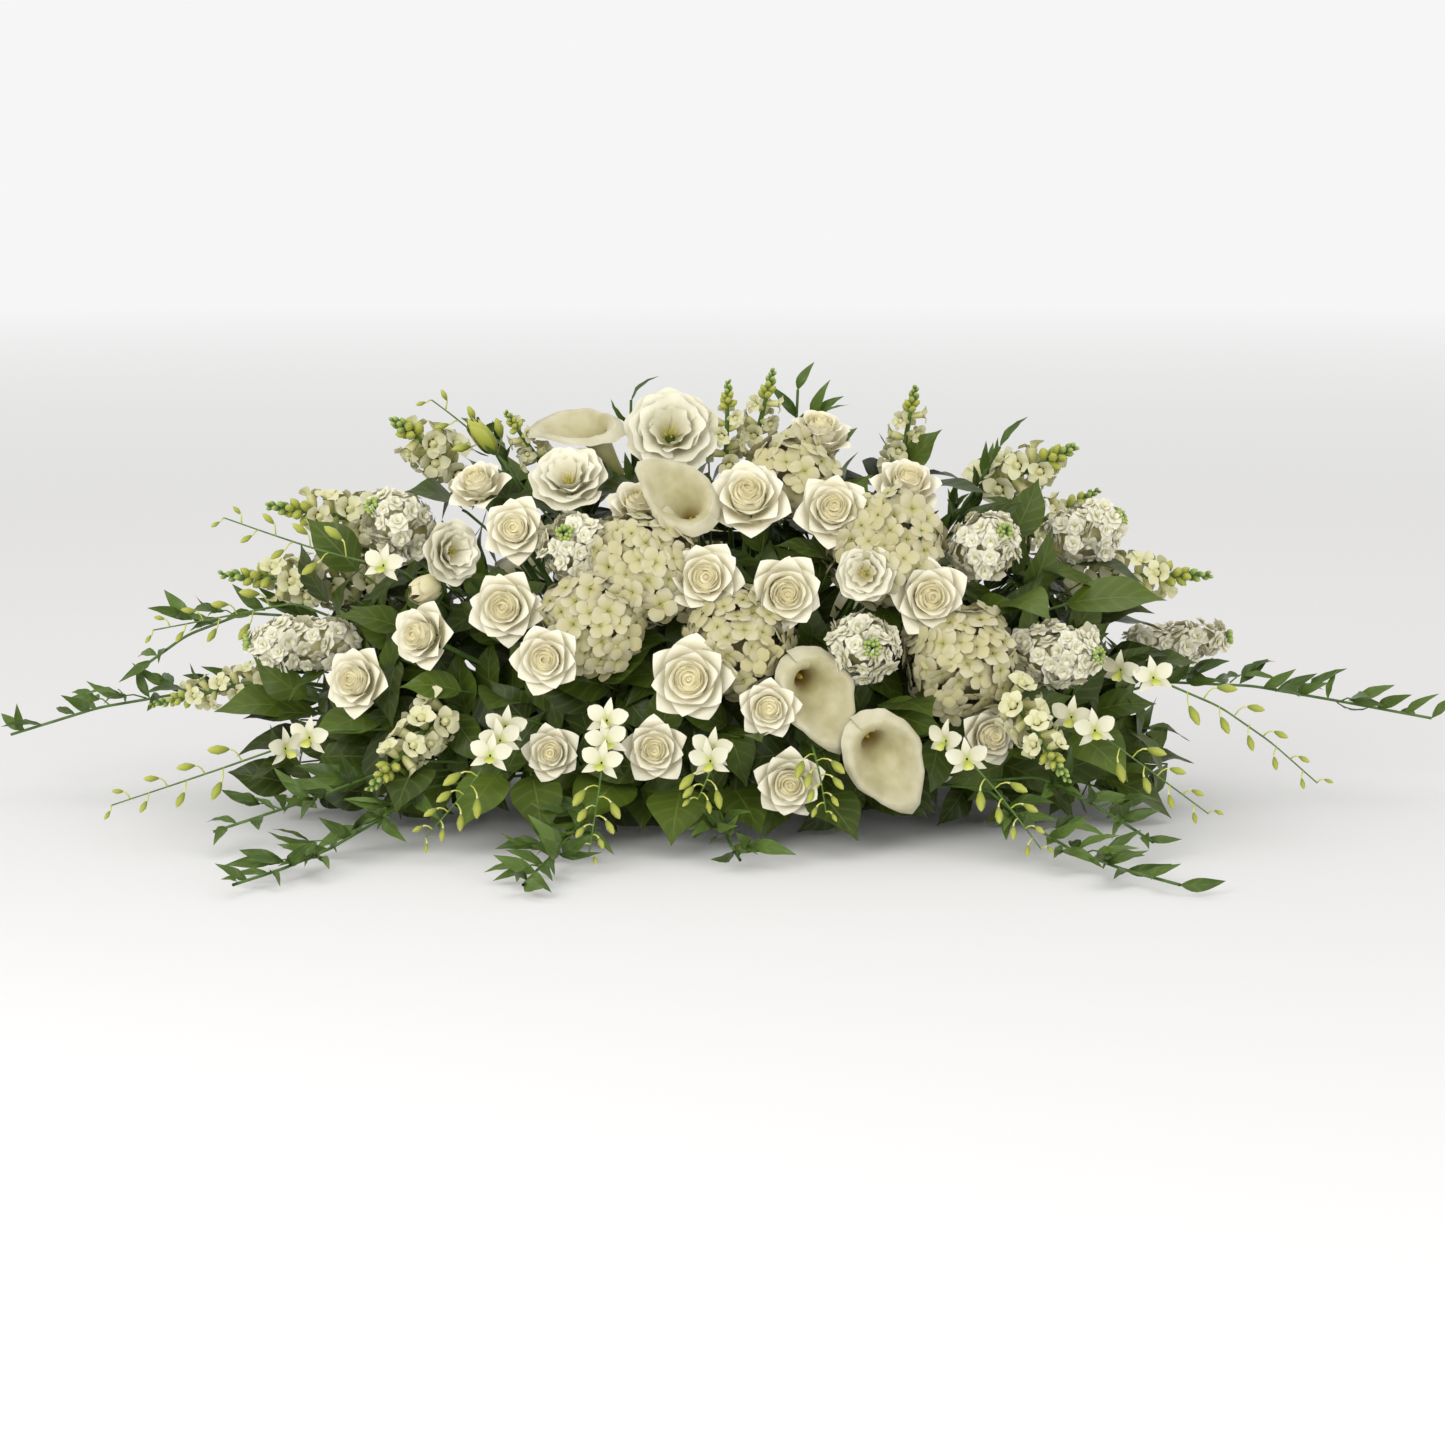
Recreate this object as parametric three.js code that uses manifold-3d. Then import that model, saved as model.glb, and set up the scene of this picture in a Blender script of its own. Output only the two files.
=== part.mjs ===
// A casket spray: white roses, lisianthus, callas, hydrangeas, stock, snapdragons and orchids with
// trailing greens, standing in two bricks of wet floral foam that sit in a plastic saddle.
// Millimetres, +Z up, +X to the right and -Y towards the people who face it. The origin is the
// centre of the saddle's flat base. What trails below the flowers lies along the surface.
import * as THREE from 'three';
import { ConvexHull } from 'three/addons/math/ConvexHull.js';
import Module from 'manifold-3d';

const wasm = await Module();
wasm.setup();
const { Manifold } = wasm;

// The dome that the flower heads lie on: |x / halfLength|^power and so on add up to 1
const DOME = { halfLength: 560, frontDepth: 310, rearDepth: 285, rise: 450, foot: 20, power: 2.3 };

// Saddle and foam
const SADDLE = { length: 472, width: 122, height: 38, wall: 3, floor: 4 };
const SEAT_GAP = 0.3;
const BRICK = { length: 229.7, width: 110, height: 80, joint: 0.4 };
const FOAM_FOOT = SADDLE.floor + SEAT_GAP;
const FOAM_TOP = FOAM_FOOT + BRICK.height;

// Where the stems stand in the foam: their holes are in its top, front, rear and ends
const SOCKET = { depth: 24, sideHeight: 52, spacing: 20, edge: 9, lead: 10, step: 5, wallGap: 0.35 };
const WAY_GAP = 0.6;
// A plant whose heads lie lower than this is put in a side of the foam, or in an end past this x
const SIDE_AIM = { below: 190, endBeyond: 400 };
// How far a hole lies towards the plant's heads, on the top and on the sides
const LEAN = { topX: 0.4, topY: 0.17, sideX: 0.5, endY: 0.2 };
const CORNER_ROOM = 26;

// Stem radii in millimetres. All stems are three-sided
const STEM_SIDES = 3;
const STEM = {
  rose: 3, lisianthus: 2.4, calla: 4.5, hydrangea: 4, stock: 3.6, snapdragon: 2.8, orchid: 1.8, green: 1.7,
};

// Room kept round stems and flower heads, and the ways that are tried for a stem that lacks it
const CLEAR = 0.5;
const STEM_ROOM = 1.4;
const DETOUR = {
  shares: [0.5, 0.3, 0.7, 0.15, 0.85], asides: [0, 9, 18, 28, 40, 54, 72], turns: 12, floor: 8,
};
// A stem that would meet its flower at a sharper angle than this gets a neck behind the flower
const STRAIGHT_ENOUGH = THREE.MathUtils.degToRad(150);
const NECK_RADII = 4;

// Colour and roughness from the photograph, by kind
const LOOK = {
  saddle: [0x2c4a35, 0.6],
  foam: [0x3c6b46, 0.95],
  rose: [0xf4efdd, 0.6],
  lisianthus: [0xf3f1e6, 0.6],
  calla: [0xf1ebd8, 0.45],
  hydrangea: [0xece8c9, 0.7],
  stock: [0xf4f3ee, 0.7],
  snapdragon: [0xe6e7bd, 0.65],
  orchid: [0xc9cf6a, 0.5],
  green: [0x3f5f2c, 0.45],
};

// What grows where. at is [x, z] as seen from the front, proud is how far the head stands out of
// the dome, r its radius, and turn and lift the way it faces, in degrees: turn to the right of the
// front, and lift above level.
const ROSES = [
  { at: [-277, 392], r: 37, turn: -25, lift: 50 },
  { at: [-231, 347], r: 38, turn: -5, lift: 15 },
  { at: [-240, 264], r: 43, turn: -8, lift: 8 },
  { at: [-336, 230], r: 39, turn: -30, lift: 10 },
  { at: [-412, 176], r: 39, turn: -20, lift: 14, proud: 8 },
  { at: [-192, 213], r: 38, turn: -4, lift: 5, proud: 26 },
  { at: [-187, 107], r: 33, turn: -5, lift: 8 },
  { at: [-72, 113], r: 36, turn: 0, lift: 8, proud: 8 },
  { at: [77, 76], r: 39, turn: 0, lift: 3, proud: 10 },
  { at: [54, 160], r: 35, turn: 0, lift: 4, proud: 16 },
  { at: [-33, 190], r: 48, turn: -4, lift: 9, proud: 6 },
  { at: [-16, 298], r: 43, turn: 0, lift: 10 },
  { at: [73, 282], r: 44, turn: 6, lift: 3 },
  { at: [32, 383], r: 48, turn: -4, lift: 34 },
  { at: [127, 370], r: 43, turn: 2, lift: 18 },
  { at: [114, 448], r: 41, turn: 8, lift: 62 },
  { at: [213, 394], r: 42, turn: 12, lift: 50 },
  { at: [235, 275], r: 44, turn: 4, lift: 8 },
  { at: [303, 119], r: 34, turn: 18, lift: 8, proud: -12 },
  { at: [-92, 374], r: 37, turn: 5, lift: 52, proud: -14 },
];
const REAR_ROSES = [
  { at: [-250, 250], r: 40, turn: 200, lift: 24 },
  { at: [-120, 180], r: 42, turn: 184, lift: 15 },
  { at: [160, 190], r: 41, turn: 174, lift: 14 },
  { at: [290, 250], r: 40, turn: 160, lift: 24 },
];
const LISIANTHUS = [
  { at: [-302, 322], r: 37, turn: 38, lift: 8, proud: 6 },
  { at: [-57, 450], r: 53, turn: 2, lift: 26 },
  { at: [-172, 401], r: 45, turn: -8, lift: 44 },
  { at: [162, 302], r: 33, turn: -12, lift: 10 },
];
const CALLAS = [
  { at: [-146, 448], r: 46, turn: -60, lift: 54, spin: 165, proud: 12 },
  { at: [-36, 374], r: 44, turn: -12, lift: 42, spin: 135, proud: 6 },
  { at: [100, 184], r: 50, turn: 22, lift: -6, spin: 310, proud: -8 },
  { at: [174, 116], r: 50, turn: 22, lift: -16, spin: 320, proud: 8 },
];
const HYDRANGEAS = [
  [
    { at: [-86, 306], r: 68, turn: -6, lift: 24, proud: -34 },
    { at: [-142, 246], r: 58, turn: -10, lift: 12, proud: -32 },
  ],
  [{ at: [22, 226], r: 66, turn: 0, lift: 14, proud: -38 }],
  [{ at: [187, 326], r: 66, turn: 14, lift: 26, proud: -36 }],
  [{ at: [84, 402], r: 54, turn: 4, lift: 48, proud: -44 }],
  [{ at: [272, 202], r: 66, turn: 16, lift: 14, proud: -36 }],
];
const REAR_HYDRANGEAS = [
  { at: [-30, 240], r: 72, turn: 180, lift: 22, proud: -20 },
];

// Spikes run from a foot to a tip. turn and lift give their direction, at the middle of the spike.
const STOCKS = [
  [
    { at: [-372, 348], r: 42, long: 96, turn: -46, lift: 30 },
    { at: [-486, 208], r: 36, long: 132, turn: -74, lift: 2, proud: -4 },
  ],
  [{ at: [-165, 330], r: 43, long: 84, turn: -14, lift: 30, proud: -8 }],
  [{ at: [160, 222], r: 45, long: 86, turn: 12, lift: 6, proud: -8 }],
  [
    { at: [302, 330], r: 44, long: 92, turn: 30, lift: 24 },
    { at: [430, 330], r: 38, long: 100, turn: 66, lift: 26 },
  ],
  [
    { at: [386, 206], r: 42, long: 112, turn: 50, lift: 4 },
    { at: [548, 192], r: 28, long: 128, turn: 84, lift: 6, proud: -4 },
  ],
];
const REAR_STOCKS = [
  { at: [-400, 150], r: 38, long: 110, turn: 232, lift: 6, proud: 6 },
  { at: [390, 140], r: 38, long: 110, turn: 132, lift: 6, proud: 6 },
];
const SNAPDRAGONS = [
  [
    { at: [-452, 342], r: 40, long: 170, turn: -74, lift: 10 },
    { at: [-496, 268], r: 40, long: 190, turn: -82, lift: 4, proud: 10 },
    { at: [-600, 138], r: 28, long: 150, turn: -86, lift: -12, proud: 40 },
    { at: [-350, 106], r: 34, long: 150, turn: -36, lift: -30, proud: 6 },
  ],
  [
    { at: [-344, 424], r: 40, long: 120, turn: -50, lift: 34 },
    { at: [-226, 438], r: 24, long: 100, turn: -34, lift: 44, proud: 10 },
  ],
  [
    { at: [8, 456], r: 26, long: 104, turn: 10, lift: 80 },
    { at: [48, 462], r: 28, long: 116, turn: 60, lift: 74, proud: -22 },
    { at: [222, 446], r: 28, long: 104, turn: 30, lift: 72 },
  ],
  [
    { at: [362, 396], r: 40, long: 140, turn: 60, lift: 26 },
    { at: [486, 276], r: 38, long: 180, turn: 76, lift: 2, proud: 14 },
    { at: [352, 128], r: 32, long: 150, turn: 28, lift: -34, proud: 44 },
  ],
];
const REAR_SNAPDRAGONS = [
  { at: [-400, 300], r: 32, long: 150, turn: 250, lift: 20 },
  { at: [400, 330], r: 32, long: 150, turn: 112, lift: 24 },
];

// Orchid sprays: the points of each stem after the foam, the number of flowers, then of buds.
const ORCHIDS = [
  [
    { way: [[-360, -170, 296], [-460, -150, 318], [-572, -120, 352]], flowers: 1, buds: 5 },
    { way: [[-500, -60, 246], [-570, -80, 234], [-664, -80, 216]], flowers: 0, buds: 5 },
    { way: [[-440, -230, 122], [-560, -270, 84], [-680, -290, 46]], flowers: 2, buds: 5 },
    { way: [[-240, -60, 400], [-292, -60, 450], [-336, -60, 484]], flowers: 0, buds: 4 },
  ],
  [
    { way: [[-232, -296, 150], [-262, -340, 94], [-322, -380, 26]], flowers: 3, buds: 5 },
    { way: [[-122, -306, 158], [-130, -350, 92], [-140, -450, 22]], flowers: 3, buds: 5 },
    { way: [[-6, -318, 122], [-10, -344, 96], [-24, -360, 66]], flowers: 2, buds: 3 },
  ],
  [
    { way: [[102, -306, 118], [110, -346, 90], [116, -374, 54]], flowers: 0, buds: 5 },
    { way: [[246, -292, 132], [300, -352, 78], [346, -430, 24]], flowers: 2, buds: 5 },
    { way: [[384, -240, 150], [460, -290, 100], [540, -330, 44]], flowers: 2, buds: 5 },
    { way: [[440, -190, 196], [580, -230, 140], [672, -260, 66]], flowers: 2, buds: 6 },
  ],
];

// Greens: leafy vines by the points of their stems, broad leaves by root, direction and size, and
// branches by their number and the corners [x, z] of the field over which their tips are spread.
const GREENS = [
  {
    name: 'greens_left',
    branches: { count: 2, low: [-560, 70], high: [-380, 270], rear: true },
    vines: [
      { way: [[-420, 40, 100], [-580, 40, 128], [-740, 30, 110], [-856, 20, 76]], leaves: 10 },
      { way: [[-430, 70, 190], [-550, 60, 222], [-640, 50, 196], [-706, 40, 150]], leaves: 6 },
    ],
    broad: [
      { root: [-500, -100, 128], turn: -70, lift: 0, long: 96, wide: 62 },
      { root: [-392, -168, 126], turn: -50, lift: -6, long: 92, wide: 60 },
    ],
  },
  {
    name: 'greens_front_left',
    vines: [
      { way: [[-330, -250, 60], [-400, -360, 26], [-450, -460, 15], [-505, -560, 12]], leaves: 8 },
      { way: [[-380, -240, 76], [-470, -300, 50], [-560, -330, 24]], leaves: 5 },
    ],
    broad: [
      { root: [-340, -250, 86], turn: -14, lift: -24, long: 90, wide: 60 },
      { root: [-250, -268, 76], turn: -24, lift: -28, long: 98, wide: 60 },
      { root: [-230, -210, 150], turn: -20, lift: 4, long: 100, wide: 70 },
      { root: [-210, -276, 76], turn: 12, lift: -28, long: 112, wide: 58 },
    ],
  },
  {
    name: 'greens_front',
    vines: [
      { way: [[-140, -280, 50], [-170, -380, 20], [-190, -470, 14], [-204, -560, 12]], leaves: 8 },
      { way: [[0, -300, 44], [8, -360, 24], [22, -430, 12]], leaves: 4 },
    ],
    broad: [
      { root: [-44, -290, 62], turn: -4, lift: -24, long: 96, wide: 70 },
      { root: [26, -270, 120], turn: 10, lift: 6, long: 84, wide: 60 },
      { root: [-110, -240, 66], turn: -30, lift: -16, long: 110, wide: 74 },
      { root: [10, -240, 62], turn: 20, lift: -18, long: 110, wide: 74 },
    ],
  },
  {
    name: 'greens_front_right',
    vines: [
      { way: [[300, -260, 60], [352, -360, 28], [410, -460, 15], [478, -560, 12]], leaves: 8 },
      { way: [[360, -240, 70], [430, -310, 42], [474, -370, 20]], leaves: 5 },
    ],
    broad: [
      { root: [110, -290, 60], turn: 24, lift: -22, long: 104, wide: 60 },
      { root: [170, -230, 76], turn: 40, lift: -16, long: 110, wide: 76 },
      { root: [200, -220, 150], turn: 20, lift: 4, long: 100, wide: 70 },
      { root: [404, -206, 112], turn: 40, lift: -24, long: 92, wide: 70 },
      { root: [340, -236, 104], turn: 24, lift: -10, long: 84, wide: 58 },
    ],
  },
  {
    name: 'greens_right',
    branches: { count: 2, low: [380, 70], high: [560, 270], rear: true },
    vines: [{ way: [[430, 40, 110], [560, 40, 140], [720, 30, 120], [858, 20, 96]], leaves: 10 }],
    broad: [
      { root: [400, -150, 256], turn: 70, lift: 4, long: 118, wide: 74 },
      { root: [330, -180, 262], turn: 30, lift: 0, long: 84, wide: 56 },
    ],
  },
  {
    name: 'greens_top',
    branches: { count: 3, low: [-380, 320], high: [380, 400], rear: true },
    vines: [
      { way: [[-80, 10, 300], [-104, -20, 410], [-104, -40, 482]], leaves: 3 },
      { way: [[70, 20, 320], [88, 10, 420], [92, 0, 492]], leaves: 3 },
      { way: [[240, 30, 280], [300, 0, 370], [330, -20, 426]], leaves: 4 },
      { way: [[-200, 30, 300], [-260, -20, 410], [-284, -40, 462]], leaves: 3 },
    ],
    broad: [
      { root: [-300, -70, 356], turn: -40, lift: 22, long: 92, wide: 58 },
      { root: [130, -60, 400], turn: 30, lift: 44, long: 84, wide: 54 },
      { root: [220, 0, 392], turn: 60, lift: 48, long: 76, wide: 42 },
    ],
  },
  {
    name: 'greens_rear',
    branches: { count: 10, low: [-440, 50], high: [440, 340], rear: true },
    vines: [
      { way: [[-200, 240, 60], [-260, 330, 30], [-330, 410, 18]], leaves: 5 },
      { way: [[180, 240, 60], [230, 330, 30], [290, 410, 18]], leaves: 5 },
    ],
    broad: [
      { root: [-280, 200, 110], turn: 206, lift: -14, long: 120, wide: 80 },
      { root: [-60, 250, 112], turn: 184, lift: -20, long: 120, wide: 80 },
      { root: [60, 220, 330], turn: 176, lift: 24, long: 120, wide: 80 },
      { root: [240, 230, 90], turn: 160, lift: -16, long: 120, wide: 80 },
    ],
  },
];

const vec = (x, y, z) => new THREE.Vector3(x, y, z);
const point = (p) => vec(...p);
const UP = vec(0, 0, 1);
const GOLDEN_TURN = Math.PI * (3 - Math.sqrt(5));

// Solids

// The number of a ring's point at place j of count, where the ring may have fewer points than count.
const cornerOf = (j, length, count) => Math.ceil((j * length) / count - 0.5) % length;

// The closed surface through stacked rings of points, which run anticlockwise seen from the last
// ring. A ring of one point is a pole, and a ring may have half as many points as its neighbour.
// raise(i, j, middle) may lift a quad's middle to a point of its own, flip(i, j) turns the diagonal
// of a quad, and capped closes rings at both ends with flat faces.
function loft(rings, { raise = () => null, flip = () => false, capped = false } = {}) {
  const points = [];
  const corners = [];
  const starts = rings.map((ring) => {
    const start = points.length / 3;
    ring.forEach((p) => points.push(...p.toArray()));
    return start;
  });
  for (let i = 0; i + 1 < rings.length; i++) {
    const [low, high] = [rings[i], rings[i + 1]];
    const count = Math.max(low.length, high.length);
    for (let j = 0; j < count; j++) {
      const next = (j + 1) % count;
      const a = starts[i] + cornerOf(j, low.length, count);
      const b = starts[i] + cornerOf(next, low.length, count);
      const c = starts[i + 1] + cornerOf(next, high.length, count);
      const d = starts[i + 1] + cornerOf(j, high.length, count);
      if (a === b) {
        corners.push(a, c, d);
      } else if (c === d) {
        corners.push(a, b, c);
      } else {
        const top = low.length === high.length ? raise(i, j, quadMiddle(low, high, j, next)) : null;
        if (top) {
          const e = points.length / 3;
          points.push(...top.toArray());
          corners.push(a, b, e, b, c, e, c, d, e, d, a, e);
        } else if (flip(i, j)) {
          corners.push(a, b, d, b, c, d);
        } else {
          corners.push(a, b, c, a, c, d);
        }
      }
    }
  }
  if (capped) {
    const last = starts.at(-1);
    for (let j = 1; j + 1 < rings[0].length; j++) {
      corners.push(0, j + 1, j, last, last + j, last + j + 1);
    }
  }
  return { points, corners };
}

function quadMiddle(low, high, j, next) {
  const middle = vec(0, 0, 0);
  [low[j], low[next], high[next], high[j]].forEach((p) => middle.addScaledVector(p, 1 / 4));
  return middle;
}

// A ring of points at height z. Its points are tips and notches by turns: wave is how far the tips
// stand out past the notches, lift how far above them they lie, and phase 1 makes the first a notch.
function wavedRing(count, radius, z, wave = 0, lift = 0, phase = 0) {
  return Array.from({ length: count }, (_, j) => {
    const angle = (2 * Math.PI * j) / count;
    const side = (j + phase) % 2 === 0 ? 1 / 2 : -1 / 2;
    const r = radius + side * wave;
    return vec(r * Math.cos(angle), r * Math.sin(angle), z + side * lift);
  });
}

function solidOf({ points, corners }) {
  const mesh = new wasm.Mesh({
    numProp: 3,
    vertProperties: new Float32Array(points),
    triVerts: new Uint32Array(corners),
  });
  return new Manifold(mesh);
}

// A piece of a plant, with the guard that its neighbours stay out of: its convex outline, grown.
function element({ points, corners }, matrix) {
  const placed = [];
  for (let i = 0; i < points.length; i += 3) {
    placed.push(vec(points[i], points[i + 1], points[i + 2]).applyMatrix4(matrix));
  }
  const solid = solidOf({ points: placed.flatMap((p) => p.toArray()), corners });
  return { solid, guard: hullAround(placed) };
}

function hullAround(placed) {
  const centre = vec(0, 0, 0);
  placed.forEach((p) => centre.addScaledVector(p, 1 / placed.length));
  const grown = placed.map((p) => {
    const out = p.clone().sub(centre).setLength(CLEAR);
    return p.clone().add(out);
  });
  const hull = new ConvexHull().setFromPoints(grown);
  const numbers = new Map();
  const points = [];
  const corners = [];
  for (const face of hull.faces) {
    const ring = [];
    let edge = face.edge;
    do {
      const vertex = edge.head();
      if (!numbers.has(vertex)) {
        numbers.set(vertex, points.length / 3);
        points.push(...vertex.point.toArray());
      }
      ring.push(numbers.get(vertex));
      edge = edge.next;
    } while (edge !== face.edge);
    for (let i = 1; i + 1 < ring.length; i++) corners.push(ring[0], ring[i], ring[i + 1]);
  }
  return solidOf({ points, corners });
}

// A rod of one radius through points from number first on, with flat ends.
function tube(points, radius, first = 0) {
  const pieces = points.slice(1).map((p, i) => p.clone().sub(points[i]).normalize());
  let before = pieces[0];
  const side = (Math.abs(before.z) < 0.9 ? UP : vec(1, 0, 0)).clone().cross(before).normalize();
  const rings = points.map((p, i) => {
    const [arriving, leaving] = [pieces[Math.max(i - 1, 0)], pieces[Math.min(i, pieces.length - 1)]];
    const along = arriving.clone().add(leaving).normalize();
    side.applyQuaternion(new THREE.Quaternion().setFromUnitVectors(before, along));
    before = along;
    const other = along.clone().cross(side);
    return Array.from({ length: STEM_SIDES }, (_, j) => {
      const angle = (2 * Math.PI * j) / STEM_SIDES;
      const corner = p.clone().addScaledVector(side, radius * Math.cos(angle));
      return corner.addScaledVector(other, radius * Math.sin(angle));
    });
  });
  return loft(rings.slice(first), { capped: true });
}

// Places and directions

// Where a head that is seen at [x, z] from the front lies on the dome, at the front or the rear.
function onDome([x, z], proud = 0, rear = false) {
  const across = (Math.abs(x) / DOME.halfLength) ** DOME.power;
  const high = (Math.abs(z - DOME.foot) / DOME.rise) ** DOME.power;
  const share = Math.max(0, 1 - across - high) ** (1 / DOME.power);
  if (rear) return vec(x, DOME.rearDepth * share + proud, z);
  return vec(x, -DOME.frontDepth * share - proud, z);
}

function heading(turn, lift) {
  const [a, e] = [turn, lift].map(THREE.MathUtils.degToRad);
  return vec(Math.sin(a) * Math.cos(e), -Math.cos(a) * Math.cos(e), Math.sin(e));
}

// The matrix that stands a shape on base, with its +Z along direction, after a spin about +Z.
function standing(base, direction, spin = 0) {
  const turn = new THREE.Quaternion().setFromUnitVectors(UP, direction.clone().normalize());
  turn.multiply(new THREE.Quaternion().setFromAxisAngle(UP, spin));
  return new THREE.Matrix4().compose(base, turn, vec(1, 1, 1));
}

// The matrix that lays a leaf from root along a direction, with its upper side towards face.
function laying(root, direction, face) {
  const along = direction.clone().normalize();
  const across = face.clone().cross(along).normalize();
  const upper = along.clone().cross(across);
  return new THREE.Matrix4().makeBasis(across, upper, along).setPosition(root);
}

// The place and the direction at a share of the length of a way of straight pieces.
function placeOn(points, share) {
  const lengths = points.slice(1).map((p, i) => p.distanceTo(points[i]));
  let left = share * lengths.reduce((sum, each) => sum + each, 0);
  let k = 0;
  while (k + 1 < lengths.length && left > lengths[k]) {
    left -= lengths[k];
    k += 1;
  }
  const along = points[k + 1].clone().sub(points[k]).normalize();
  return { at: points[k].clone().addScaledVector(along, left), along };
}

function middleOf(points) {
  const middle = vec(0, 0, 0);
  points.forEach((p) => middle.addScaledVector(p, 1 / points.length));
  return middle;
}

// Flower heads. Each stands on its own origin, faces +Z and has radius 1 before it is scaled

// Layers of five petals each, as rings from the belly to the heart: the number of points, radius,
// height, and then the wave, lift and phase of the petals' tips.
const ROSE_RINGS = [
  [5, 0.6, 0.18],
  [10, 0.9, 0.52, 0.2, -0.1, 0],
  [10, 0.64, 0.5],
  [10, 0.7, 0.84, 0.14, 0.04, 1],
  [5, 0.42, 0.66],
  [5, 0.38, 1.02],
];
const ROSE_HEART = 0.78;
const LISIANTHUS_RINGS = [
  [5, 0.42, 0.2],
  [10, 0.93, 0.52, 0.16, -0.16, 0],
  [10, 0.6, 0.5],
  [10, 0.72, 0.78, 0.16, 0.12, 1],
  [5, 0.34, 0.36],
];
const LISIANTHUS_HEART = 0.5;

function petalled(rows, heart) {
  const rings = rows.map((row) => wavedRing(...row));
  return loft([[vec(0, 0, 0)], ...rings, [vec(0, 0, heart)]]);
}

// A calla: a rolled spathe with one wall, its flared rim drawn out to a tip on +X, and its spadix.
const CALLA = {
  sides: 10,
  wall: 0.03,
  horn: [[0.12, 0], [0.24, 0.6], [0.48, 1.25]],
  rim: { radius: 0.78, skew: 0.16, tip: 0.34, height: 1.62, rise: 0.46, curl: 0.1 },
  spadix: { radius: 0.075, foot: 0.5, shoulder: 1.25, top: 1.35 },
};

function calla() {
  const { sides, wall, horn, rim, spadix } = CALLA;
  const ring = (radius, z) => wavedRing(sides, radius, z);
  const lip = Array.from({ length: sides }, (_, j) => {
    const angle = (2 * Math.PI * j) / sides;
    const towardsTip = Math.cos(angle);
    const drawn = Math.max(0, towardsTip) ** 4;
    const radius = rim.radius + rim.skew * towardsTip + rim.tip * drawn;
    const z = rim.height + rim.rise * towardsTip + rim.curl * drawn;
    return vec(radius * Math.cos(angle), radius * Math.sin(angle), z);
  });
  const outside = horn.map(([r, z]) => ring(r, z));
  const inside = horn.slice(1).reverse().map(([r, z]) => ring(r - wall, z + wall));
  return loft([
    [vec(0, 0, 0)],
    ...outside,
    lip,
    ...inside,
    ring(spadix.radius, spadix.foot),
    ring(spadix.radius, spadix.shoulder),
    [vec(0, 0, spadix.top)],
  ], { flip: (i) => i > horn.length });
}

// A head that four-petalled florets cover: a grid of rows and sectors on a turned shape, each cell a
// floret whose petals are the raised middles of its quarters. shape(u) gives radius and height. The
// underside is plain, and the crown is a floret of its own. QUILT says how far the corners between
// florets, their centres and their edges lie below the shape, as shares of the relief.
const QUILT = { corner: 1, centre: 0.3, edge: 0.62, tilt: 0.7, twist: 0.3, foot: 0.1 };

function quilted(rows, sectors, shape, relief) {
  const columns = 2 * sectors;
  const bands = 2 * rows;
  const rings = Array.from({ length: bands + 1 }, (_, i) => {
    const { r, z } = shape(i / bands);
    const end = i === 0 || i === bands;
    return Array.from({ length: end ? sectors : columns }, (__, k) => {
      const j = end ? 2 * k : k;
      const angle = (2 * Math.PI * (j + QUILT.twist * i)) / columns;
      let depth = QUILT.edge;
      if (i % 2 === 0 && j % 2 === 0) depth = QUILT.corner;
      if (i % 2 === 1 && j % 2 === 1) depth = QUILT.centre;
      const radius = r - depth * relief;
      return vec(radius * Math.cos(angle), radius * Math.sin(angle), z);
    });
  });
  const [foot, top] = [shape(0), shape(1)];
  const middleHeight = (foot.z + top.z) / 2;
  const raise = (i, j, middle) => {
    const out = vec(middle.x, middle.y, QUILT.tilt * (middle.z - middleHeight));
    return middle.add(out.setLength(relief));
  };
  return loft([[vec(0, 0, foot.z - QUILT.foot)], ...rings, [vec(0, 0, top.z + relief)]], { raise });
}

// A round hydrangea head: from a share of the way up a ball to near its top.
const HYDRANGEA = { rows: 3, sectors: 5, relief: 0.2, radius: 0.96, foot: 0.24, top: 0.92, height: 0.8 };

const hydrangea = () => quilted(HYDRANGEA.rows, HYDRANGEA.sectors, (u) => {
  const polar = Math.PI * THREE.MathUtils.lerp(HYDRANGEA.foot, HYDRANGEA.top, u);
  const z = HYDRANGEA.height * (Math.cos(Math.PI * HYDRANGEA.foot) - Math.cos(polar));
  return { r: HYDRANGEA.radius * Math.sin(polar), z };
}, HYDRANGEA.relief);

// A stock's blunt spike: its sides are the square root of a sine, and large heads get more florets.
const STOCK = {
  rows: 3, relief: 0.24, radius: 0.86, from: 0.2, to: 0.86, foot: 0.12, crown: 0.23, fullFrom: 42.5,
};

const stock = ({ r, long }) => quilted(STOCK.rows, r > STOCK.fullFrom ? 5 : 4, (u) => {
  const swell = Math.sin(Math.PI * THREE.MathUtils.lerp(STOCK.from, STOCK.to, u)) ** 0.5;
  return { r: STOCK.radius * swell, z: STOCK.foot + (long / r - STOCK.foot - STOCK.crown) * u };
}, STOCK.relief);

// A snapdragon's spike: two-lipped florets round the stem, set alternately, then shut buds up to the
// tip. core is the radius of the stalk with its calyxes, reach that of the lips, both from foot to tip.
const SNAP = {
  sides: 4,
  floretRows: 3,
  budRows: 2,
  bloomShare: 0.72,
  core: [0.34, 0.1],
  reach: [1, 0.6],
  lowerLip: 0.72,
  budReach: [0.45, 0.2],
  droop: 0.3,
  twist: 0.5,
};

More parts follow.
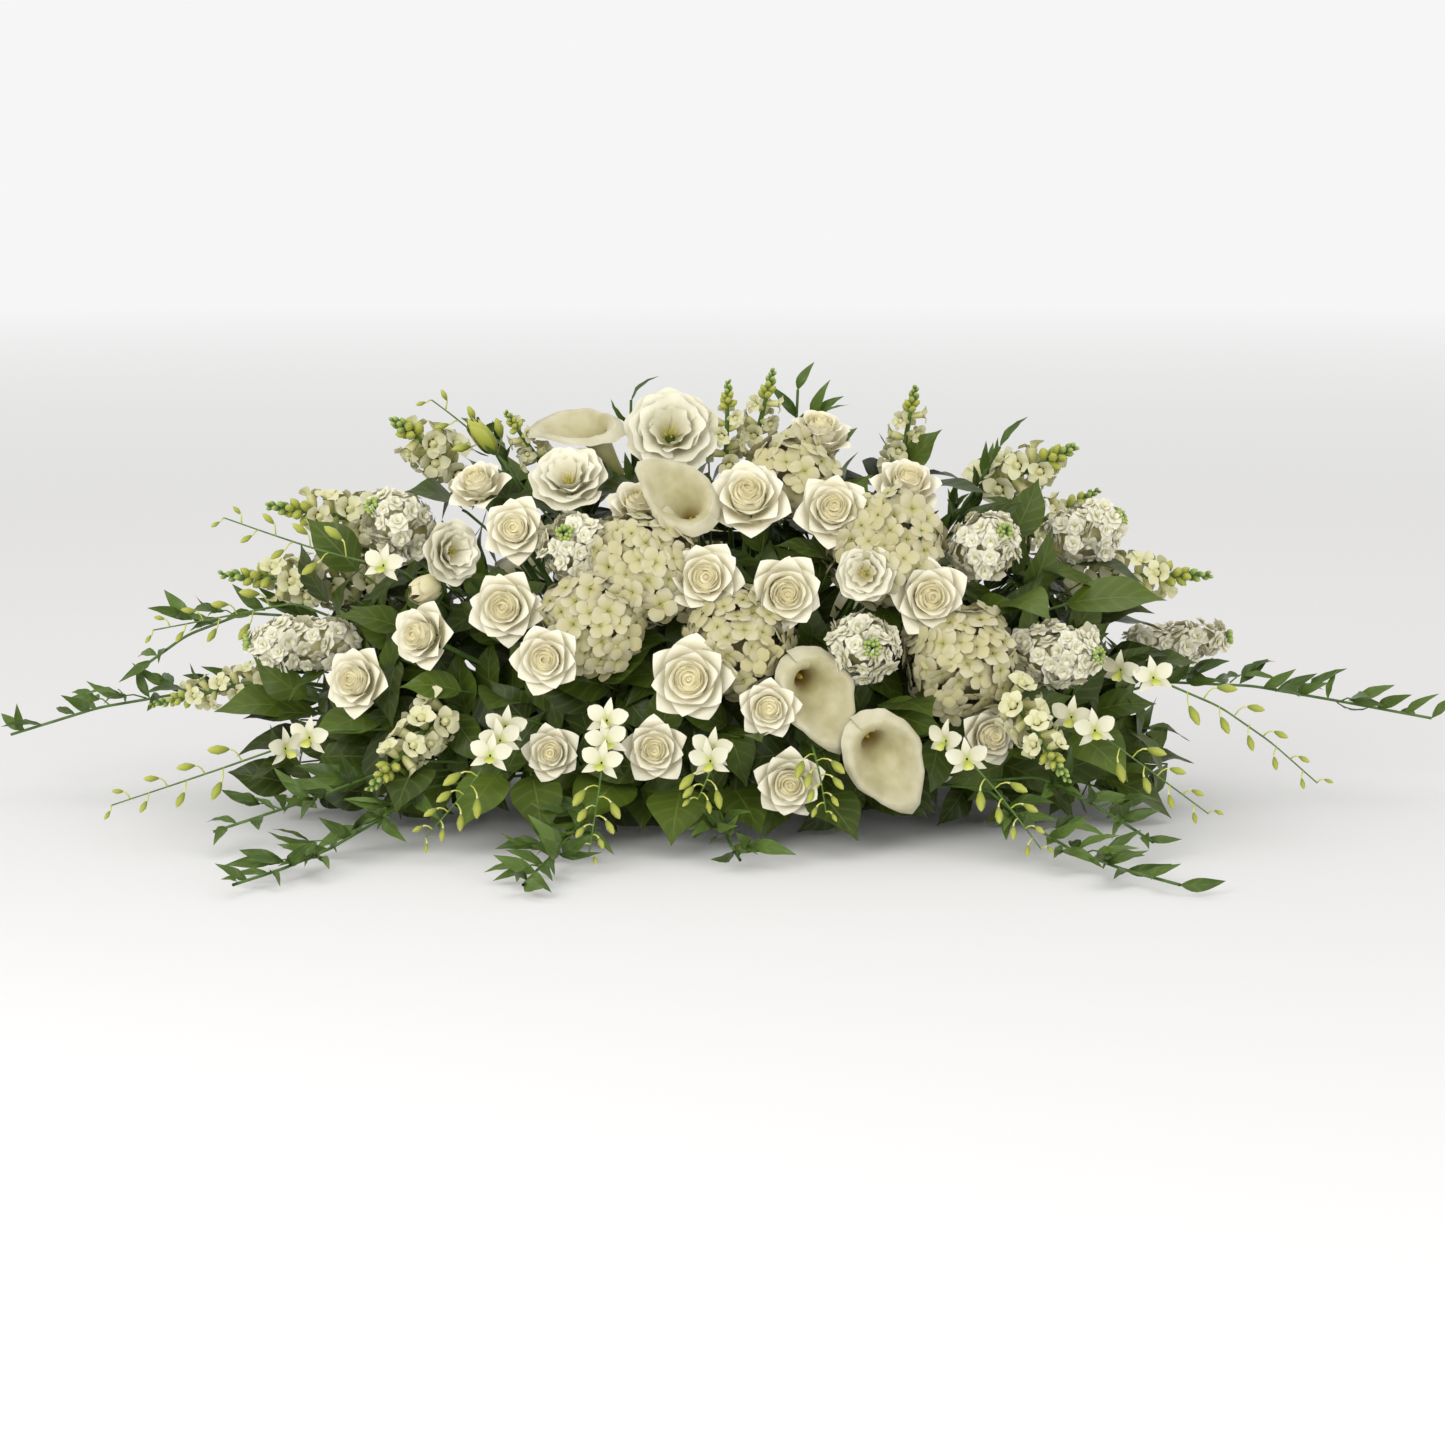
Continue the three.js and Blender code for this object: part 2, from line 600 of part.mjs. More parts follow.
function snapdragon({ r, long }) {
  const length = long / r;
  const bloomBands = 2 * SNAP.floretRows;
  const bands = bloomBands + SNAP.budRows;
  const shareAt = (i) => {
    if (i <= bloomBands) return (SNAP.bloomShare * i) / bloomBands;
    return SNAP.bloomShare + ((1 - SNAP.bloomShare) * (i - bloomBands)) / SNAP.budRows;
  };
  const rings = Array.from({ length: bands + 1 }, (_, i) => {
    const radius = THREE.MathUtils.lerp(...SNAP.core, shareAt(i));
    const ring = wavedRing(SNAP.sides, radius, length * shareAt(i));
    return ring.map((p) => p.applyAxisAngle(UP, SNAP.twist * i));
  });
  const raise = (i, j, middle) => {
    if ((i + j) % 2) return null;
    const blooming = i < bloomBands;
    let reach = THREE.MathUtils.lerp(...(blooming ? SNAP.reach : SNAP.budReach), shareAt(i));
    if (blooming && i % 2) reach *= SNAP.lowerLip;
    const scale = reach / Math.hypot(middle.x, middle.y);
    const drop = blooming && i % 2 === 0 ? SNAP.droop : -SNAP.droop / 3;
    return vec(middle.x * scale, middle.y * scale, middle.z - drop);
  };
  return loft([[vec(0, 0, -SNAP.core[1] / 2)], ...rings, [vec(0, 0, length * 1.02)]], { raise });
}

// Orchid sprays: open flowers first, then shut buds on alternate sides, smaller towards the tip.
const ORCHID = {
  flowerRadius: 25,
  star: { radius: 0.66, height: 0.42, wave: 0.68, lift: 0.1, heart: 0.56 },
  budLength: 30,
  budRadius: 5.2,
  budWidest: 0.68,
  budShrink: 0.5,
  pieces: 4,
};

function orchidFlower() {
  const { star, flowerRadius } = ORCHID;
  const [radius, height, wave, lift, heart] = Object.values(star).map((share) => share * flowerRadius);
  return loft([[vec(0, 0, 0)], wavedRing(10, radius, height, wave, lift), [vec(0, 0, heart)]]);
}

function orchidBud(size) {
  const length = ORCHID.budLength * size;
  const ring = wavedRing(3, ORCHID.budRadius * size, ORCHID.budWidest * length);
  return loft([[vec(0, 0, 0)], ring, [vec(0, 0, length)]]);
}

// A leaf from its root to its tip, with a keel along its upper side. widths lists shares of the
// length and of the width, thickness is that of the keel, and arch the rise of its middle.
const LEAF = {
  ruscus: { long: 58, wide: 18, widths: [[0.45, 1]], thickness: 1.8, arch: 4 },
  salal: { widths: [[0.28, 0.88], [0.64, 0.94]], thickness: 2, arch: 7 },
};

function leaf(kind, length, width) {
  const { widths, thickness, arch } = LEAF[kind];
  const rings = widths.map(([share, wide]) => {
    const half = (width * wide) / 2;
    const rise = arch * Math.sin(Math.PI * share);
    const z = length * share;
    return [vec(half, rise / 2, z), vec(0, rise + thickness / 2, z), vec(-half, rise / 2, z)];
  });
  return loft([[vec(0, 0, 0)], ...rings, [vec(0, 0, length)]], { flip: (i, j) => j === 1 });
}

// The leaves at a branch's tip, as one star that faces +Z: its ring goes out along each leaf's edge
// to its tip and back, by the angle from the leaf's middle, and by shares of the length.
const WHORL = {
  leaves: 3, long: 92, edge: [[-60, 0.14, 0], [-29, 0.5, 0.1], [0, 1, 0.02], [29, 0.5, 0.1]], half: 0.03,
};

function whorl() {
  const { leaves, long, edge, half } = WHORL;
  const ring = Array.from({ length: leaves }, (_, k) => edge.map(([degrees, out, rise]) => {
    const angle = THREE.MathUtils.degToRad(degrees + (360 * k) / leaves);
    return vec(out * Math.cos(angle), out * Math.sin(angle), rise).multiplyScalar(long);
  }));
  return loft([[vec(0, 0, -half * long)], ring.flat(), [vec(0, 0, half * long)]]);
}

// Stems and their holes in the foam

const plants = [];
const mouths = [];
const laid = [];
const obstacles = [];

// The free place for a stem's hole that lies nearest to the one wanted, and the way out of it.
function socketFor(aim) {
  const halfWide = BRICK.width / 2;
  const onTop = aim.z >= SIDE_AIM.below;
  const onEnd = !onTop && Math.abs(aim.x) > SIDE_AIM.endBeyond;
  let out = vec(0, Math.sign(aim.y), 0);
  let wanted = vec(aim.x * LEAN.sideX, out.y * halfWide, SOCKET.sideHeight);
  if (onTop) {
    out = UP.clone();
    wanted = vec(aim.x * LEAN.topX, aim.y * LEAN.topY, FOAM_TOP);
  } else if (onEnd) {
    out = vec(Math.sign(aim.x), 0, 0);
    wanted = vec(out.x * BRICK.length, aim.y * LEAN.endY, SOCKET.sideHeight);
  }
  const fits = (p) => {
    const room = BRICK.length - SOCKET.edge - (onTop ? 0 : CORNER_ROOM);
    const inLength = onEnd || (Math.abs(p.x) < room && Math.abs(p.x) > SOCKET.edge);
    const inWidth = Math.abs(out.y) === 1 || Math.abs(p.y) < halfWide - SOCKET.edge;
    return inLength && inWidth && mouths.every((other) => other.distanceTo(p) >= SOCKET.spacing);
  };
  let best = null;
  for (let x = -BRICK.length; x <= BRICK.length; x += SOCKET.step) {
    for (let y = -halfWide; y <= halfWide; y += SOCKET.step) {
      const p = vec(onEnd ? wanted.x : x, Math.abs(out.y) === 1 ? wanted.y : y, wanted.z);
      if (fits(p) && (!best || p.distanceTo(wanted) < best.distanceTo(wanted))) best = p;
    }
  }
  if (!best) throw new Error('the foam has no room left for a stem');
  mouths.push(best);
  return { mouth: best, out };
}

// The radius of a rod whose faces lie a gap outside those of a stem.
const widened = (radius, gap) => radius + gap / Math.cos(Math.PI / STEM_SIDES);

function newPlant(name, kind, aim) {
  const { mouth, out } = socketFor(aim);
  const root = mouth.clone().addScaledVector(out, -SOCKET.depth);
  const lead = mouth.clone().addScaledVector(out, SOCKET.lead);
  const bottom = root.clone().addScaledVector(out, -SOCKET.wallGap);
  const hole = solidOf(tube([bottom, lead], widened(STEM[kind], SOCKET.wallGap)));
  const plant = { name, kind, root, lead, hole, stems: [], heads: [] };
  plants.push(plant);
  laid.push({ plant, points: [root, lead], radius: STEM[kind] });
  return plant;
}

// The distance between the pieces a-b and c-d.
function gapBetween(a, b, c, d) {
  const u = b.clone().sub(a);
  const v = d.clone().sub(c);
  const w = a.clone().sub(c);
  const [uu, uv, vv, uw, vw] = [u.dot(u), u.dot(v), v.dot(v), u.dot(w), v.dot(w)];
  const det = uu * vv - uv * uv;
  const { clamp } = THREE.MathUtils;
  const first = det > 0 ? clamp((uv * vw - vv * uw) / det, 0, 1) : 0;
  const t = clamp((uv * first + vw) / vv, 0, 1);
  const s = clamp((uv * t - uw) / uu, 0, 1);
  return a.clone().addScaledVector(u, s).distanceTo(c.clone().addScaledVector(v, t));
}

// The least room round a way, to the stems of other plants and to the middles of their heads.
function roomRound(points, radius, plant) {
  let least = Infinity;
  for (let i = 0; i + 1 < points.length; i++) {
    for (const other of [...laid, ...obstacles]) {
      if (other.plant === plant) continue;
      for (let k = 0; k + 1 < other.points.length; k++) {
        const gap = gapBetween(points[i], points[i + 1], other.points[k], other.points[k + 1]);
        least = Math.min(least, gap - radius - other.radius);
      }
    }
  }
  return least;
}

// A way from start to end, through a middle that is moved aside until way and tail have room, or
// null where there is no such way.
function clearWay(start, end, tail, radius, plant) {
  const along = end.clone().sub(start);
  const steep = Math.abs(along.z) > 0.9 * along.length();
  const side = (steep ? vec(1, 0, 0) : UP.clone().cross(along)).normalize();
  const other = along.clone().cross(side).normalize();
  let best = { gap: -Infinity };
  for (const share of DETOUR.shares) {
    for (const aside of DETOUR.asides) {
      for (let k = 0; k < (aside ? DETOUR.turns : 1); k++) {
        const angle = (2 * Math.PI * k) / DETOUR.turns;
        const middle = start.clone().addScaledVector(along, share);
        middle.addScaledVector(side, aside * Math.cos(angle));
        middle.addScaledVector(other, aside * Math.sin(angle));
        if (middle.z < DETOUR.floor) continue;
        const points = aside ? [start, middle, end] : [start, end];
        const gap = roomRound([...points, ...tail], radius, plant);
        if (gap > best.gap) best = { points, gap };
        if (gap > STEM_ROOM) return best.points;
      }
    }
  }
  return best.gap < CLEAR ? null : best.points;
}

// A stem from the foam to end, which it reaches along direction, and on along its tail. It is left
// out where it may be and there is no room for it.
function addStem(plant, end, direction, { tail = [], optional = false } = {}) {
  const radius = STEM[plant.kind];
  const sharp = plant.lead.clone().sub(end).angleTo(direction) < STRAIGHT_ENOUGH;
  const neck = end.clone().addScaledVector(direction, -NECK_RADII * radius);
  const finish = sharp && !tail.length ? [neck, end] : [end];
  const way = clearWay(plant.lead, finish[0], [...finish.slice(1), ...tail], radius, plant);
  if (!way && optional) return false;
  if (!way) throw new Error(`${plant.name}: no room for a stem`);
  const outside = [...way, ...finish.slice(1), ...tail];
  const points = plant.stems.length ? outside : [plant.root, ...outside];
  const guard = solidOf(tube(points, widened(radius, WAY_GAP), points.length - outside.length));
  plant.stems.push({ solid: solidOf(tube(points, radius)), guard });
  laid.push({ plant, points, radius });
  return true;
}

// Plants

// back: from a head's foot to its middle, and sink: how far the stem goes into the head, as shares of
// its radius. keep: the share of its radius that other stems go round.
const rose = () => petalled(ROSE_RINGS, ROSE_HEART);
const lisianthus = () => petalled(LISIANTHUS_RINGS, LISIANTHUS_HEART);
const HEADS = {
  rose: { make: rose, back: 0.5, sink: 0.3, keep: 0.62 },
  lisianthus: { make: lisianthus, back: 0.45, sink: 0.25, keep: 0.6 },
  calla: { make: calla, back: 1.3, sink: 0.3, keep: 0.3 },
  hydrangea: { make: hydrangea, back: 0.6, sink: 0.3, keep: 0.6 },
  stock: { make: stock, sink: 0.4, keep: 0.5 },
  snapdragon: { make: snapdragon, sink: 0.2, keep: 0.2 },
};
const CORE_SHARE = 0.3;

function addBlooms(name, kind, heads, rear = false) {
  const { make, back, sink, keep } = HEADS[kind];
  const poses = heads.map((head) => {
    const face = heading(head.turn, head.lift);
    const toMiddle = head.long ? head.long / 2 : back * head.r;
    const middle = onDome(head.at, head.proud, rear);
    return { face, middle, toMiddle, foot: middle.clone().addScaledVector(face, -toMiddle) };
  });
  const plant = newPlant(name, kind, middleOf(poses.map((pose) => pose.foot)));
  heads.forEach((head, i) => {
    const { face, middle, toMiddle, foot } = poses[i];
    const spin = head.spin ? THREE.MathUtils.degToRad(head.spin) : GOLDEN_TURN * (plants.length + i);
    const matrix = standing(foot, face, spin).scale(vec(head.r, head.r, head.r));
    plant.heads.push(element(make(head), matrix));
    const inner = middle.clone().addScaledVector(face, CORE_SHARE * toMiddle);
    obstacles.push({ plant, points: [middle, inner], radius: keep * head.r });
  });
  return () => poses.forEach(({ foot, face }, i) => {
    addStem(plant, foot.clone().addScaledVector(face, sink * heads[i].r), face);
  });
}

const wayOf = (points) => new THREE.CatmullRomCurve3(points.map(point)).getSpacedPoints(ORCHID.pieces);

function addSpray(plant, { way, flowers, buds }) {
  const points = wayOf(way);
  const direction = points[1].clone().sub(points[0]).normalize();
  addStem(plant, points[0], direction, { tail: points.slice(1) });
  const total = flowers + buds;
  for (let i = 0; i < total; i++) {
    const { at, along } = placeOn(points, (i + 0.6) / total);
    const side = i % 2 ? 1 : -1;
    const across = vec(along.y, -along.x, 0).setLength(side);
    if (i < flowers) {
      const face = vec(0.4 * side, -1, 0.1).addScaledVector(across, 0.3);
      plant.heads.push(element(orchidFlower(), standing(at, face, i)));
    } else {
      const size = 1 - (ORCHID.budShrink * (i - flowers)) / buds;
      const aim = across.addScaledVector(along, 0.5).add(vec(0, -0.4, side > 0 ? 0.3 : -0.1));
      plant.heads.push(element(orchidBud(size), standing(at, aim)));
    }
  }
}

// A vine's narrow leaves stand out of it by turns, and turn their upper sides up and to the front.
const VINE = {
  first: 0.7, shrink: 0.3, splay: 0.9, lift: [0.12, 0.42], face: [0.4, 1], floor: 10, high: 100,
};

function addVine(plant, { way, leaves }) {
  const points = wayOf(way);
  const direction = points[1].clone().sub(points[0]).normalize();
  addStem(plant, points[0], direction, { tail: points.slice(1) });
  for (let i = 0; i < leaves; i++) {
    const share = (i + VINE.first) / leaves;
    const chance = (i * GOLDEN_TURN) % 1;
    const { at, along } = placeOn(points, share);
    const size = 1 - VINE.shrink * share;
    const level = vec(-along.y, along.x, 0).setLength(i % 2 ? VINE.splay : -VINE.splay);
    const aim = along.clone().add(level);
    aim.z += THREE.MathUtils.lerp(...VINE.lift, chance);
    aim.normalize();
    const low = VINE.floor - at.z - aim.z * LEAF.ruscus.long * size;
    if (low > 0) aim.z += low / (LEAF.ruscus.long * size);
    const shape = leaf('ruscus', LEAF.ruscus.long * size, LEAF.ruscus.wide * size);
    const face = vec(0, at.z > VINE.high ? -1 : -0.8, THREE.MathUtils.lerp(...VINE.face, chance));
    plant.heads.push(element(shape, laying(at, aim, face)));
  }
}

const LEAF_ROOT = 3;

function addBroadLeaf(plant, { root, turn, lift, long, wide }) {
  const direction = heading(turn, lift);
  addStem(plant, point(root), direction);
  const start = point(root).addScaledVector(direction, -LEAF_ROOT);
  const face = vec(direction.x / 5, direction.y, 0).normalize().addScaledVector(UP, 1.2);
  plant.heads.push(element(leaf('salal', long, wide), laying(start, direction, face)));
}

// Branches stand under the flowers, a depth below the dome and inside a share of its outline. Their
// tips are spread over the field by two steps that never repeat, and miss the places without room for
// the stem or where a leaf would hang below the floor.
const BRANCH = { depth: 62, inside: 0.8, steps: [0.7549, 0.5698], lean: 0.4, height: 90, floor: 8 };

function addBranches(plant, { count, low, high, rear = false }) {
  let added = 0;
  for (let k = 1; added < count; k++) {
    const at = low.map((start, i) => start + ((k * BRANCH.steps[i]) % 1) * (high[i] - start));
    const across = (Math.abs(at[0]) / DOME.halfLength) ** DOME.power;
    const up = (Math.abs(at[1] - DOME.foot) / DOME.rise) ** DOME.power;
    if (across + up > BRANCH.inside) continue;
    const tip = onDome(at, -BRANCH.depth, rear);
    const direction = tip.clone().sub(vec(BRANCH.lean * tip.x, 0, BRANCH.height)).normalize();
    const leaves = element(whorl(), standing(tip, direction, GOLDEN_TURN * k));
    if (leaves.solid.boundingBox().min[2] < BRANCH.floor) continue;
    if (!addStem(plant, tip, direction, { optional: true })) continue;
    plant.heads.push(leaves);
    added += 1;
  }
}

const numbered = (name, i) => `${name}_${String(i + 1).padStart(2, '0')}`;

const stemsOfBlooms = [
  ...ROSES.map((head, i) => addBlooms(numbered('rose', i), 'rose', [head])),
  addBlooms('rear_roses', 'rose', REAR_ROSES, true),
  ...LISIANTHUS.map((head, i) => addBlooms(numbered('lisianthus', i), 'lisianthus', [head])),
  ...CALLAS.map((head, i) => addBlooms(numbered('calla', i), 'calla', [head])),
  ...STOCKS.map((heads, i) => addBlooms(numbered('stock', i), 'stock', heads)),
  addBlooms('rear_stocks', 'stock', REAR_STOCKS, true),
  ...HYDRANGEAS.map((heads, i) => addBlooms(numbered('hydrangea', i), 'hydrangea', heads)),
  addBlooms('rear_hydrangea', 'hydrangea', REAR_HYDRANGEAS, true),
  ...SNAPDRAGONS.map((heads, i) => addBlooms(numbered('snapdragon', i), 'snapdragon', heads)),
  addBlooms('rear_snapdragons', 'snapdragon', REAR_SNAPDRAGONS, true),
];
const orchidPlants = ORCHIDS.map((sprays, i) => {
  const aim = middleOf(sprays.map((spray) => point(spray.way[0])));
  return newPlant(numbered('orchids', i), 'orchid', aim);
});
const greenPlants = GREENS.map(({ name, vines, broad }) => {
  const starts = [...vines.map((vine) => vine.way[0]), ...broad.map((each) => each.root)];
  return newPlant(name, 'green', middleOf(starts.map(point)));
});
stemsOfBlooms.forEach((addStems) => addStems());
ORCHIDS.forEach((sprays, i) => sprays.forEach((spray) => addSpray(orchidPlants[i], spray)));
GREENS.forEach(({ vines, broad, branches = { count: 0 } }, i) => {
  vines.forEach((vine) => addVine(greenPlants[i], vine));
  broad.forEach((each) => addBroadLeaf(greenPlants[i], each));
  addBranches(greenPlants[i], branches);
});

// Fitting together: heads give way to the stems of other plants and to heads that come before them,
// and what a cut leaves loose is dropped

function apart(a, b) {
  const [p, q] = [a.boundingBox(), b.boundingBox()];
  return [0, 1, 2].some((k) => p.max[k] < q.min[k] || q.max[k] < p.min[k]);
}

function cutClear(solid, guards) {
  const near = guards.filter((guard) => !apart(solid, guard));
  return near.reduce((left, guard) => left.subtract(guard), solid);
}

function grownTogether(plant, k) {
  const others = plants.filter((other) => other !== plant);
  const stemGuards = others.flatMap((other) => other.stems.map((stem) => stem.guard));
  const headGuards = plants.slice(0, k).flatMap((other) => other.heads.map((head) => head.guard));
  const heads = plant.heads.map((head) => cutClear(head.solid, [...stemGuards, ...headGuards]));
  const whole = [...plant.stems.map((stem) => stem.solid), ...heads].reduce((a, b) => a.add(b));
  return whole.decompose().reduce((a, b) => (a.volume() > b.volume() ? a : b));
}

// A block between its lowest and its highest corner.
function block(low, high) {
  const ring = (z) => [
    vec(low.x, low.y, z),
    vec(high.x, low.y, z),
    vec(high.x, high.y, z),
    vec(low.x, high.y, z),
  ];
  return solidOf(loft([ring(low.z), ring(high.z)], { capped: true }));
}

function foamBrick(side) {
  const [near, far] = [side * BRICK.joint / 2, side * (BRICK.joint / 2 + BRICK.length)];
  const low = vec(Math.min(near, far), -BRICK.width / 2, FOAM_FOOT);
  const brick = block(low, vec(Math.max(near, far), BRICK.width / 2, FOAM_TOP));
  const guards = plants.flatMap((plant) => [plant.hole, ...plant.stems.map((stem) => stem.guard)]);
  return cutClear(brick, guards);
}

function saddle() {
  const { length, width, height, wall, floor } = SADDLE;
  const outer = block(vec(-length / 2, -width / 2, 0), vec(length / 2, width / 2, height));
  const low = vec(wall - length / 2, wall - width / 2, floor);
  return outer.subtract(block(low, vec(length / 2 - wall, width / 2 - wall, height + wall)));
}

// The scene graph: one named mesh for each plant, for the saddle and for each brick of foam
const spray = new THREE.Group();

function addNode(name, solid, [color, roughness]) {
  const { numProp, vertProperties, triVerts } = solid.getMesh();
  const positions = vertProperties.filter((_, i) => i % numProp < 3);
  const geometry = new THREE.BufferGeometry();
  geometry.setAttribute('position', new THREE.BufferAttribute(positions, 3));
  geometry.setIndex(new THREE.BufferAttribute(triVerts, 1));
  geometry.computeVertexNormals();
  const material = new THREE.MeshStandardMaterial({ color, roughness, metalness: 0 });
  const mesh = new THREE.Mesh(geometry, material);
  mesh.name = name;
  spray.add(mesh);
}

addNode('saddle', saddle(), LOOK.saddle);
addNode('foam_left', foamBrick(-1), LOOK.foam);
addNode('foam_right', foamBrick(1), LOOK.foam);
plants.forEach((plant, k) => addNode(plant.name, grownTogether(plant, k), LOOK[plant.kind]));

export default spray;
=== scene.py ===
# A casket spray of white flowers and trailing greens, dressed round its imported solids.
# Shapes are worked out in millimetres and made in metres.
from math import atan2, copysign, cos, pi, radians, sin, sqrt

import bpy
import numpy as np
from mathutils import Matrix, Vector
from numpy.linalg import norm


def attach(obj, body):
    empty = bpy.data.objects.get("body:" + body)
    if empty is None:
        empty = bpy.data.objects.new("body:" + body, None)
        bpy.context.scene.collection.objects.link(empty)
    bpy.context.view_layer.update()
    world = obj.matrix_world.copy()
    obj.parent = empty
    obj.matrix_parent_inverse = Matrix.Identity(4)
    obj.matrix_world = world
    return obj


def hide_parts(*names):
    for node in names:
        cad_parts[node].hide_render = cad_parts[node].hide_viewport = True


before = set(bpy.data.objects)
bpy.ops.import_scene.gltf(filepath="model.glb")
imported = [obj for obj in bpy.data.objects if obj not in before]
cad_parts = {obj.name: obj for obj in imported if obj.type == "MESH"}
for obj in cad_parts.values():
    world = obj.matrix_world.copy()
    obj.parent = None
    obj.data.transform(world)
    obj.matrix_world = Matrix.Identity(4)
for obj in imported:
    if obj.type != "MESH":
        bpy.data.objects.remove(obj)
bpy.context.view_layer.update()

MM = 0.001
TURN = 2 * pi
GOLDEN = pi * (3 - sqrt(5))
ANY_ANGLE = (0, 6.28)
rng = np.random.default_rng(20)
scene = bpy.context.scene

# Flowers, as in the solids: the heads of each plant at the front, then the name and heads of the one at
# the rear. A head is x and z from the front, radius, the turn and lift that it faces in degrees, how far
# it stands out of the dome, and where they matter its length and its spin.
DOME = dict(half=560, front=310, rear=285, rise=450, foot=20, power=2.3)
FLOWERS = (
    ("rose", (
        [(-277, 392, 37, -25, 50)], [(-231, 347, 38, -5, 15)], [(-240, 264, 43, -8, 8)],
        [(-336, 230, 39, -30, 10)], [(-412, 176, 39, -20, 14, 8)], [(-192, 213, 38, -4, 5, 26)],
        [(-187, 107, 33, -5, 8)], [(-72, 113, 36, 0, 8, 8)], [(77, 76, 39, 0, 3, 10)],
        [(54, 160, 35, 0, 4, 16)], [(-33, 190, 48, -4, 9, 6)], [(-16, 298, 43, 0, 10)],
        [(73, 282, 44, 6, 3)], [(32, 383, 48, -4, 34)], [(127, 370, 43, 2, 18)], [(114, 448, 41, 8, 62)],
        [(213, 394, 42, 12, 50)], [(235, 275, 44, 4, 8)], [(303, 119, 34, 18, 8, -12)],
        [(-92, 374, 37, 5, 52, -14)],
    ), "rear_roses", [
        (-250, 250, 40, 200, 24), (-120, 180, 42, 184, 15), (160, 190, 41, 174, 14), (290, 250, 40, 160, 24),
    ]),
    ("lisianthus", (
        [(-302, 322, 37, 38, 8, 6)], [(-57, 450, 53, 2, 26)], [(-172, 401, 45, -8, 44)],
        [(162, 302, 33, -12, 10)],
    ), None, []),
    ("calla", (
        [(-146, 448, 46, -60, 54, 12, None, 165)], [(-36, 374, 44, -12, 42, 6, None, 135)],
        [(100, 184, 50, 22, -6, -8, None, 310)], [(174, 116, 50, 22, -16, 8, None, 320)],
    ), None, []),
    ("stock", (
        [(-372, 348, 42, -46, 30, 0, 96), (-486, 208, 36, -74, 2, -4, 132)],
        [(-165, 330, 43, -14, 30, -8, 84)],
        [(160, 222, 45, 12, 6, -8, 86)],
        [(302, 330, 44, 30, 24, 0, 92), (430, 330, 38, 66, 26, 0, 100)],
        [(386, 206, 42, 50, 4, 0, 112), (548, 192, 28, 84, 6, -4, 128)],
    ), "rear_stocks", [(-400, 150, 38, 232, 6, 6, 110), (390, 140, 38, 132, 6, 6, 110)]),
    ("hydrangea", (
        [(-86, 306, 68, -6, 24, -34), (-142, 246, 58, -10, 12, -32)],
        [(22, 226, 66, 0, 14, -38)], [(187, 326, 66, 14, 26, -36)],
        [(84, 402, 54, 4, 48, -44)], [(272, 202, 66, 16, 14, -36)],
    ), "rear_hydrangea", [(-30, 240, 72, 180, 22, -20)]),
    ("snapdragon", (
        [(-452, 342, 40, -74, 10, 0, 170), (-496, 268, 40, -82, 4, 10, 190),
         (-600, 138, 28, -86, -12, 40, 150), (-350, 106, 34, -36, -30, 6, 150)],
        [(-344, 424, 40, -50, 34, 0, 120), (-226, 438, 24, -34, 44, 10, 100)],
        [(8, 456, 26, 10, 80, 0, 104), (48, 462, 28, 60, 74, -22, 116), (222, 446, 28, 30, 72, 0, 104)],
        [(362, 396, 40, 60, 26, 0, 140), (486, 276, 38, 76, 2, 14, 180), (352, 128, 32, 28, -34, 44, 150)],
    ), "rear_snapdragons", [(-400, 300, 32, 250, 20, 0, 150), (400, 330, 32, 112, 24, 0, 150)]),
)

# Orchid sprays: the points of the stem after the foam, the number of flowers, then of buds
ORCHIDS = (
    [
        ([[-360, -170, 296], [-460, -150, 318], [-572, -120, 352]], 1, 5),
        ([[-500, -60, 246], [-570, -80, 234], [-664, -80, 216]], 0, 5),
        ([[-440, -230, 122], [-560, -270, 84], [-680, -290, 46]], 2, 5),
        ([[-240, -60, 400], [-292, -60, 450], [-336, -60, 484]], 0, 4),
    ],
    [
        ([[-232, -296, 150], [-262, -340, 94], [-322, -380, 26]], 3, 5),
        ([[-122, -306, 158], [-130, -350, 92], [-140, -450, 22]], 3, 5),
        ([[-6, -318, 122], [-10, -344, 96], [-24, -360, 66]], 2, 3),
    ],
    [
        ([[102, -306, 118], [110, -346, 90], [116, -374, 54]], 0, 5),
        ([[246, -292, 132], [300, -352, 78], [346, -430, 24]], 2, 5),
        ([[384, -240, 150], [460, -290, 100], [540, -330, 44]], 2, 5),
        ([[440, -190, 196], [580, -230, 140], [672, -260, 66]], 2, 6),
    ],
)

